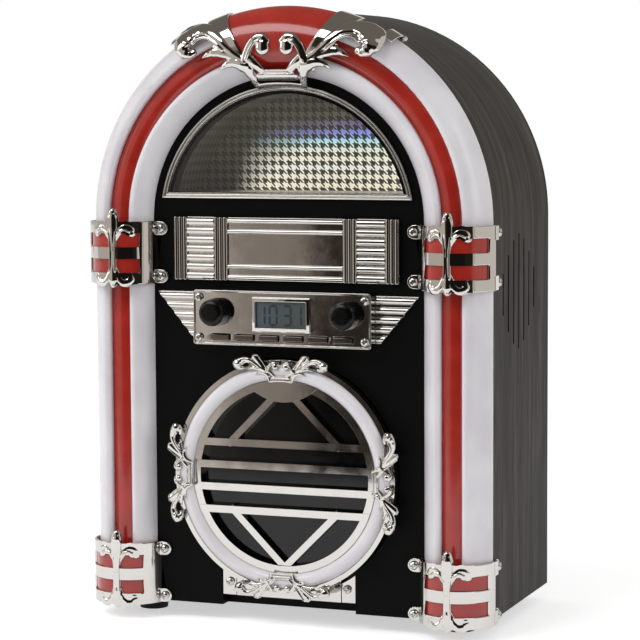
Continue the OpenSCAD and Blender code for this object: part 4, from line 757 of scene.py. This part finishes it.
class JUKEBOX_OT_brackets(JukeboxOperator, bpy.types.Operator):
    """Round the four side brackets, and give each its cast fleur"""
    bl_idname = "jukebox.brackets"
    bl_label = "Build side brackets"

    def execute(self, context):
        chrome = bpy.data.materials["chrome_plated_abs"]
        fleurs = fleur(self.sizes.fleur_voxel, self.sizes.strap_round)
        fleur_y = FACE_Y - self.sizes.strap_rise + FLEUR_SINK * MM
        for name in BRACKETS:
            low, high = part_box(name)
            x = math.copysign(FRAME_MID_R, low.x)
            straps = joined_copy(name, weld=0.03 * MM)
            self.plane_off(straps, x, (low.z + high.z) / 2)
            round_over(straps, self.sizes.door_edge, self.sizes.edge_segments, chosen=self.beside_round)
            casting = copy_of(fleurs)
            casting.data.transform(Matrix.Translation((x, fleur_y, high.z - FLEUR_DROP * MM)))
            dress(join([straps, casting]), name + "_plated", chrome, "cabinet", [name])
        bpy.data.objects.remove(fleurs)
        return {"FINISHED"}

    def beside_round(self, corner):
        """Whether a strap's corner is beside its planed round, and not on the wood's side."""
        round_half, over_tubes = 16 * MM, 2 * MM
        out = abs(corner.x)
        return out < FRAME_R + over_tubes and abs(out - FRAME_MID_R) > round_half

    def plane_off(self, straps, x, z):
        """Takes the plain ornament off a bracket's straps, in front of their round."""
        plane_width, plane_depth, plane_height = 40 * MM, 24 * MM, 200 * MM
        plane_y, kept_skin = FACE_Y - 20 * MM, 0.03 * MM
        axis_y = FACE_Y - self.sizes.strap_rise + self.sizes.strap_round
        deselect()
        bpy.ops.mesh.primitive_cube_add(size=1)
        block = bpy.context.object
        shape = Matrix.Diagonal((plane_width, plane_depth, plane_height, 1))
        block.data.transform(Matrix.Translation((x, plane_y, z)) @ shape)
        deselect()
        bpy.ops.mesh.primitive_cylinder_add(
            vertices=256, radius=self.sizes.strap_round + kept_skin, depth=2 * plane_height)
        round_bar = bpy.context.object
        round_bar.data.transform(Matrix.Translation((x, axis_y, z)))
        apply_modifier(block, "BOOLEAN", operation="DIFFERENCE", object=round_bar, solver="EXACT")
        apply_modifier(straps, "BOOLEAN", operation="DIFFERENCE", object=block, solver="EXACT")
        for cutter in (block, round_bar):
            bpy.data.objects.remove(cutter)


class JUKEBOX_OT_crest(JukeboxOperator, bpy.types.Operator):
    """Carve the crest's scrolls and bend its straps"""
    bl_idname = "jukebox.crest"
    bl_label = "Carve crest"

    def execute(self, context):
        scroll = scrollwork(self.sizes.scroll_voxel, LEAN)
        scroll.data.transform(Matrix.Translation((0, FACE_Y - self.sizes.scroll_rise, CREST_FOOT_Z)))
        self.bend_back(scroll)
        straps = join([self.crown_strap(), self.side_strip()])
        apply_modifier(straps, "MIRROR", use_axis=(True, False, False), use_mirror_merge=False)
        piece = join([scroll, straps])
        dress(piece, "crest_scrollwork", bpy.data.materials["chrome_plated_abs"], "cabinet",
              ["top_crest"])
        return {"FINISHED"}

    def bend_back(self, scroll):
        """Lays the scrolls' outer parts back over the round of the tubes."""
        bend = self.sizes.strap_round
        share, most = 0.7, 0.95 * bend
        for point in scroll.data.vertices:
            out = math.hypot(point.co.x, point.co.z - ARCH_Z) - FRAME_MID_R
            out = min(max(out, 0.0), most)
            point.co.y += share * (bend - math.sqrt(bend * bend - out * out))

    def crown_strap(self):
        """The strap that leans outwards from a scroll's root over the crown and down behind it."""
        middle, bend, rise = FRAME_MID_R / MM, self.sizes.strap_round / MM, self.sizes.strap_rise / MM
        first, last, steps = math.radians(-40), math.radians(77), 32
        left, left_lean, right, right_lean = 15.5, 0.55, 25, 0.68
        end_out, end_rise = 0.2, -5.6
        path = []
        for i in range(steps + 1):
            turn = first + (last - first) * i / steps
            path.append((middle + bend * math.sin(turn), rise - bend + bend * math.cos(turn)))
        path.append((path[-1][0] + end_out, end_rise))
        root = path[0][0]
        return sheet_strap(
            [(r, out, left + left_lean * (r - root), right + right_lean * (r - root)) for r, out in path],
            self.sizes.strap_thickness)

    def side_strip(self):
        """The strip that holds a scroll's end to the wood."""
        middle, bend, rise = FRAME_MID_R / MM, self.sizes.strap_round / MM, self.sizes.strap_rise / MM
        on_wood = CABINET_R / MM + 2.4
        back_rise, front_rise, tube_rise = -17.0, -7.4, -6.4
        round_turn, steps = 34, 16
        x_at_edge, half_width = 73, 3.6
        path = [(on_wood, back_rise), (on_wood, front_rise), (middle + bend, tube_rise)]
        for i in range(steps + 1):
            turn = math.radians(round_turn * i / steps)
            path.append((middle + bend * math.cos(turn), rise - bend + bend * math.sin(turn)))
        lean = x_at_edge / (FRAME_R / MM)
        return sheet_strap([(r, out, r * lean - half_width, r * lean + half_width) for r, out in path],
                           self.sizes.strap_thickness)


class JUKEBOX_OT_window(JukeboxOperator, bpy.types.Operator):
    """Finish the window and the foil-lined housing behind it"""
    bl_idname = "jukebox.window"
    bl_label = "Finish window"

    def execute(self, context):
        paint(["window_lens"], clear_acrylic())
        paint(["foil_housing"], prism_foil())
        return {"FINISHED"}


class JUKEBOX_OT_controls(JukeboxOperator, bpy.types.Operator):
    """Round the knobs and buttons, and draw the display's digits"""
    bl_idname = "jukebox.controls"
    bl_label = "Build controls"

    def execute(self, context):
        polish = polished_black()
        for name in ("volume_knob", "tuning_knob"):
            piece = round_over(
                joined_copy(name), self.sizes.knob_edge, self.sizes.edge_segments + 1, limit=14)
            dress(piece, name + "_polished", polish, name, [name])
        satin = satin_plated_abs()
        for name in BUTTONS:
            node = name + "_button"
            piece = round_over(joined_copy(node), self.sizes.button_edge, self.sizes.edge_segments)
            dress(piece, node + "_satin", satin, node, [node])
        paint(["display_module"], display_glass())
        paint(["control_board", "main_board"], circuit_board())
        can = metal("pressed_zinc_can", "#A9A9A6", grain=0.8 * MM, rough=(0.25, 0.45))
        paint(["volume_control", "tuning_control"], can)
        self.digits()
        return {"FINISHED"}

    def digits(self):
        """A generic frequency in seven-segment figures on the display's glass."""
        high, wide, drop = self.sizes.digit_height, 5.0 * MM, 0.4 * MM
        middle_z = (DISPLAY_LOW.z + DISPLAY_HIGH.z) / 2 - drop
        front = DISPLAY_LOW.y - 0.05 * MM
        # Each figure's lit segments, and the place of its middle in mm
        figures = [("bc", -14.3), ("abcdef", -5.8), ("abcdg", 4.0), ("bc", 11.2)]
        ends = {
            "a": ((-1, 1), (1, 1)), "b": ((1, 1), (1, 0)), "c": ((1, 0), (1, -1)), "d": ((-1, -1), (1, -1)),
            "e": ((-1, 0), (-1, -1)), "f": ((-1, 1), (-1, 0)), "g": ((-1, 0), (1, 0))}
        bars = []
        for segments, x in figures:
            for letter in segments:
                (x0, z0), (x1, z1) = ends[letter]
                a = Vector((x * MM + x0 * wide / 2, front, middle_z + z0 * high / 2))
                b = Vector((x * MM + x1 * wide / 2, front, middle_z + z1 * high / 2))
                bars.append(self.bar(a, b))
        point, half_point = Vector((8.2 * MM, front, middle_z - high / 2)), Vector((0.9 * MM, 0, 0))
        bars.append(self.bar(point - half_point, point + half_point))
        ink = moulded_plastic("display_ink", "#20262A", grain=1 * MM, rough=(0.4, 0.6), depth=0.01 * MM)
        dress(join(bars), "display_digits", ink, "cabinet")

    def bar(self, a, b):
        """One segment: a flat bar with pointed ends, short of its neighbours."""
        stroke, short = self.sizes.digit_stroke, 0.15
        run = (b - a).normalized()
        across = Vector((run.z, 0, -run.x)) * stroke / 2
        a, b = a + run * stroke * short, b - run * stroke * short
        tip = run * stroke / 2
        outline = [a, a + tip + across, b - tip + across, b, b - tip - across, a + tip - across]
        thing = sheet_object("segment", outline, [range(len(outline))])
        apply_modifier(thing, "SOLIDIFY", thickness=0.04 * MM, offset=0.0)
        return thing


class JUKEBOX_OT_door(JukeboxOperator, bpy.types.Operator):
    """Round the door's frame, and carve the four scroll ornaments on its ring"""
    bl_idname = "jukebox.door"
    bl_label = "Build CD door"

    def execute(self, context):
        chrome = bpy.data.materials["chrome_plated_abs"]
        window_gap = 0.5 * MM
        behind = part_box("door_window")[0].y - window_gap
        piece = round_over(joined_copy("door_frame"), self.sizes.door_edge, self.sizes.edge_segments,
                           chosen=lambda corner: corner.y < behind, clamp=True)
        dress(piece, "door_frame_plated", chrome, "cd_door", ["door_frame"])
        paint(["door_light_ring"], bpy.data.materials["milk_white_acrylic"])
        paint(["door_window"], smoked_acrylic())
        pin = metal("ground_steel_pin", "#B5B4B2", grain=0.5 * MM, rough=(0.2, 0.35), stretch=(1.0, 0.1, 1.0))
        paint(["hinge_pins"], pin)
        dress(self.ornaments(), "door_scrollwork", chrome, "cd_door", ["door_ornaments"])
        return {"FINISHED"}

    def ornaments(self):
        """The crest's scrolls four times round the ring, smaller, flatter and with blades for straps."""
        size, flat, squash = self.sizes.ornament_scale, 0.62, 0.84
        foot, ring_gap = DOOR_R - 12.8 * MM, 0.35 * MM
        first = scrollwork(self.sizes.scroll_voxel, 0.0, blades=True)
        first.data.transform(
            Matrix.Translation((0, 0, foot)) @ Matrix.Diagonal((size, flat, squash * size, 1.0)))
        copies = [first]
        for quarter in range(1, 4):
            turned = copy_of(first)
            turned.data.transform(Matrix.Rotation(quarter * math.pi / 2, 4, "Y"))
            copies.append(turned)
        piece = join(copies)
        ring_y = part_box("door_light_ring")[0].y
        piece.data.transform(Matrix.Translation((0, ring_y - ring_gap, DOOR_Z)))
        return piece


class JUKEBOX_OT_drive(JukeboxOperator, bpy.types.Operator):
    """Finish the CD bay, deck, hub, sled, motors and gears"""
    bl_idname = "jukebox.drive"
    bl_label = "Finish CD drive"

    def execute(self, context):
        black = moulded_plastic("black_abs", "#151515", grain=0.7 * MM, rough=(0.4, 0.6), depth=0.05 * MM)
        paint(["cd_bay", "disc_hub", "door_latch"], black)
        deck = metal("pressed_deck_steel", "#9C9C9A", grain=1.2 * MM, rough=(0.3, 0.45))
        paint(["cd_deck"], deck)
        paint(["guide_rods"], bpy.data.materials["ground_steel_pin"])
        can = metal("motor_can_steel", "#B3B2AE", grain=0.8 * MM, rough=(0.25, 0.4))
        paint(["spindle_motor", "sled_motor"], can)
        grey = moulded_plastic("sled_grey_abs", "#3A3B3D", grain=0.8 * MM, rough=(0.4, 0.55), depth=0.05 * MM)
        paint(["laser_sled"], grey)
        acetal = moulded_plastic(
            "white_acetal", "#DAD8D0", grain=0.8 * MM, rough=(0.35, 0.5), depth=0.03 * MM)
        paint(["feed_gear", "sled_motor_gear"], acetal)
        return {"FINISHED"}


class JUKEBOX_OT_rear(JukeboxOperator, bpy.types.Operator):
    """Finish the speakers and sockets"""
    bl_idname = "jukebox.rear"
    bl_label = "Finish speakers and sockets"

    def execute(self, context):
        cone = moulded_plastic(
            "speaker_paper_black", "#1B1A1A", grain=1.5 * MM, rough=(0.7, 0.9), depth=0.1 * MM)
        paint(["left_speaker", "right_speaker"], cone)
        paint(["power_inlet", "line_socket"], bpy.data.materials["black_abs"])
        return {"FINISHED"}


class JUKEBOX_OT_stage(JukeboxOperator, bpy.types.Operator):
    """Set the pale floor, the studio lights and the camera"""
    bl_idname = "jukebox.stage"
    bl_label = "Set stage"

    def execute(self, context):
        self.floor()
        self.surround()
        self.world()
        self.lights()
        self.camera()
        return {"FINISHED"}

    def board(self, name, corners, material):
        """A flat stage board through four corners."""
        thing = sheet_object(name, corners, [(0, 1, 2, 3)])
        thing.data.materials.append(material)
        return thing

    def floor(self):
        """A pale floor that the camera and mirrors see brighter than it lights the object."""
        pale, tree, shader, place = start("pale_studio_floor", {
            "Base Color": self.colours.floor, "Specular IOR Level": 0.1,
            "Emission Color": (1.0, 1.0, 1.0, 1.0)})
        texture(tree, shader, place, grain=4 * MM, rough=(0.75, 0.9), depth=0.05 * MM, strength=0.05)
        tree.links.new(self.seen(tree, 0.0, 0.55), shader.inputs["Emission Strength"])
        front, back, side = -0.66, 9.0, 9.0
        self.board("floor", [(-side, front, 0), (side, front, 0), (side, back, 0), (-side, back, 0)], pale)

    def surround(self):
        """Boards that only the plated parts mirror: the studio's dark front, grey walls and grey ceiling."""
        side, front, back, low, high = 5.0, -3.06, 4.0, -1.2, 2.5
        grey, pale = "#B5AEA6", "#C8C4BE"
        edges = [-side, -1.32, -1.14, -0.55, 2.2, side]
        shades = [grey, "#847C75", "#2C2622", "#181412", "#221E1B"]
        for left, right, shade in zip(edges, edges[1:], shades):
            self.upright("front", (left, front), (right, front), low, high, shade)
        for name, x in (("left_wall", -side), ("right_wall", side)):
            self.upright(name, (x, front), (x, back), low, high, grey)
        self.upright("back_wall", (-side, back), (side, back), low, high, pale)
        card_x, card_front, card_back, card_high = 0.75, -0.35, 1.5, 1.2
        self.upright("right_card", (card_x, card_front), (card_x, card_back), 0.0, card_high, pale)
        ceiling = [(-side, front, high), (side, front, high), (side, back, high), (-side, back, high)]
        self.flag("ceiling", ceiling, "#6A655F")

    def upright(self, name, one_end, other_end, low, high, code):
        """A flag that stands between two places on the plan."""
        self.flag(name, [(*one_end, low), (*other_end, low), (*other_end, high), (*one_end, high)], code)

    def flag(self, name, corners, code):
        """A board of one even brightness, which the camera and the soft light don't see."""
        material = start("studio_flag_" + name, {
            "Base Color": (0.0, 0.0, 0.0, 1.0), "Specular IOR Level": 0.0, "Emission Color": linear(code),
            "Emission Strength": 1.35})[0]
        thing = self.board("flag_" + name, corners, material)
        thing.visible_camera = thing.visible_diffuse = thing.visible_shadow = False

    def seen(self, tree, hidden, shown):
        """A strength for what the camera, mirrors and glass see, and another for the light itself."""
        rays = add(tree, "ShaderNodeLightPath").outputs
        pair = add(tree, "ShaderNodeMath", {
            0: rays["Is Camera Ray"], 1: rays["Is Glossy Ray"]}, operation="ADD")
        every = add(tree, "ShaderNodeMath", {
            0: pair.outputs[0], 1: rays["Is Transmission Ray"]}, operation="ADD", use_clamp=True)
        return add(tree, "ShaderNodeMapRange", {
            "Value": every.outputs[0], "To Min": hidden, "To Max": shown}).outputs["Result"]

    def world(self):
        """A white surround that the camera and mirrors see twice as bright as it lights the object."""
        world = bpy.data.worlds.new("studio")
        bpy.context.scene.world = world
        world.use_nodes = True
        tree = world.node_tree
        background = tree.nodes["Background"]
        background.inputs["Color"].default_value = (1.0, 1.0, 1.0, 1.0)
        tree.links.new(self.seen(tree, 0.5, 1.0), background.inputs["Strength"])

    def lights(self):
        """Three soft lamps, each with its place, size in metres and power in watts, aimed at the object."""
        aim = Vector((0, 0, 0.2))
        for name, place, size, power in (
                ("overhead_front", Vector((-0.9, -1.5, 1.9)), (1.5, 0.9), 20),
                ("right_strip", Vector((1.9, -0.5, 0.9)), (0.3, 1.2), 5),
                ("left_soft", Vector((-1.9, -0.9, 0.9)), (0.7, 1.1), 6)):
            lamp = bpy.data.lights.new(name, "AREA")
            lamp.shape = "RECTANGLE"
            lamp.size, lamp.size_y = size
            lamp.energy = power
            thing = bpy.data.objects.new(name, lamp)
            bpy.context.scene.collection.objects.link(thing)
            thing.location = place
            thing.rotation_euler = (aim - place).to_track_quat("-Z", "Y").to_euler()

    def camera(self):
        """The photograph's viewpoint: 21 degrees round to the right and 5 degrees up."""
        lens = bpy.data.cameras.new("camera")
        lens.lens, lens.sensor_width = 135.46, 36.0
        thing = bpy.data.objects.new("camera", lens)
        bpy.context.scene.collection.objects.link(thing)
        turn, rise, roll = math.radians(20.88), math.radians(5.28), math.radians(-0.31)
        target, distance = Vector((23.18 * MM, FACE_Y, 203.2 * MM)), 1562.64 * MM
        back = Vector((math.sin(turn) * math.cos(rise), -math.cos(turn) * math.cos(rise), math.sin(rise)))
        right = Vector((math.cos(turn), math.sin(turn), 0))
        up = back.cross(right)
        across = math.cos(roll) * right + math.sin(roll) * up
        upwards = -math.sin(roll) * right + math.cos(roll) * up
        thing.matrix_world = Matrix.Translation(target + back * distance) @ Matrix(
            (across, upwards, back)).transposed().to_4x4()
        bpy.context.scene.camera = thing
        bpy.context.scene.view_settings.view_transform = "Standard"


OPERATORS = (
    JUKEBOX_OT_cabinet, JUKEBOX_OT_lights, JUKEBOX_OT_trim, JUKEBOX_OT_brackets, JUKEBOX_OT_crest,
    JUKEBOX_OT_window, JUKEBOX_OT_controls, JUKEBOX_OT_door, JUKEBOX_OT_drive, JUKEBOX_OT_rear,
    JUKEBOX_OT_stage)


class JUKEBOX_PT_panel(bpy.types.Panel):
    """Steps of the dressing, in order"""
    bl_idname = "JUKEBOX_PT_panel"
    bl_label = "Jukebox"
    bl_space_type = "VIEW_3D"
    bl_region_type = "UI"
    bl_category = "Jukebox"

    def draw(self, context):
        for step in OPERATORS:
            self.layout.operator(step.bl_idname)


CLASSES = (JukeboxSizes, JukeboxColours) + OPERATORS + (JUKEBOX_PT_panel,)


def register():
    for each in CLASSES:
        bpy.utils.register_class(each)
    bpy.types.Scene.jukebox_sizes = PointerProperty(type=JukeboxSizes)
    bpy.types.Scene.jukebox_colours = PointerProperty(type=JukeboxColours)


def unregister():
    del bpy.types.Scene.jukebox_colours
    del bpy.types.Scene.jukebox_sizes
    for each in reversed(CLASSES):
        bpy.utils.unregister_class(each)


def main():
    register()
    bpy.ops.jukebox.cabinet()
    bpy.ops.jukebox.lights()
    bpy.ops.jukebox.trim()
    bpy.ops.jukebox.brackets()
    bpy.ops.jukebox.crest()
    bpy.ops.jukebox.window()
    bpy.ops.jukebox.controls()
    bpy.ops.jukebox.door()
    bpy.ops.jukebox.drive()
    bpy.ops.jukebox.rear()
    bpy.ops.jukebox.stage()


if __name__ == "__main__":
    main()
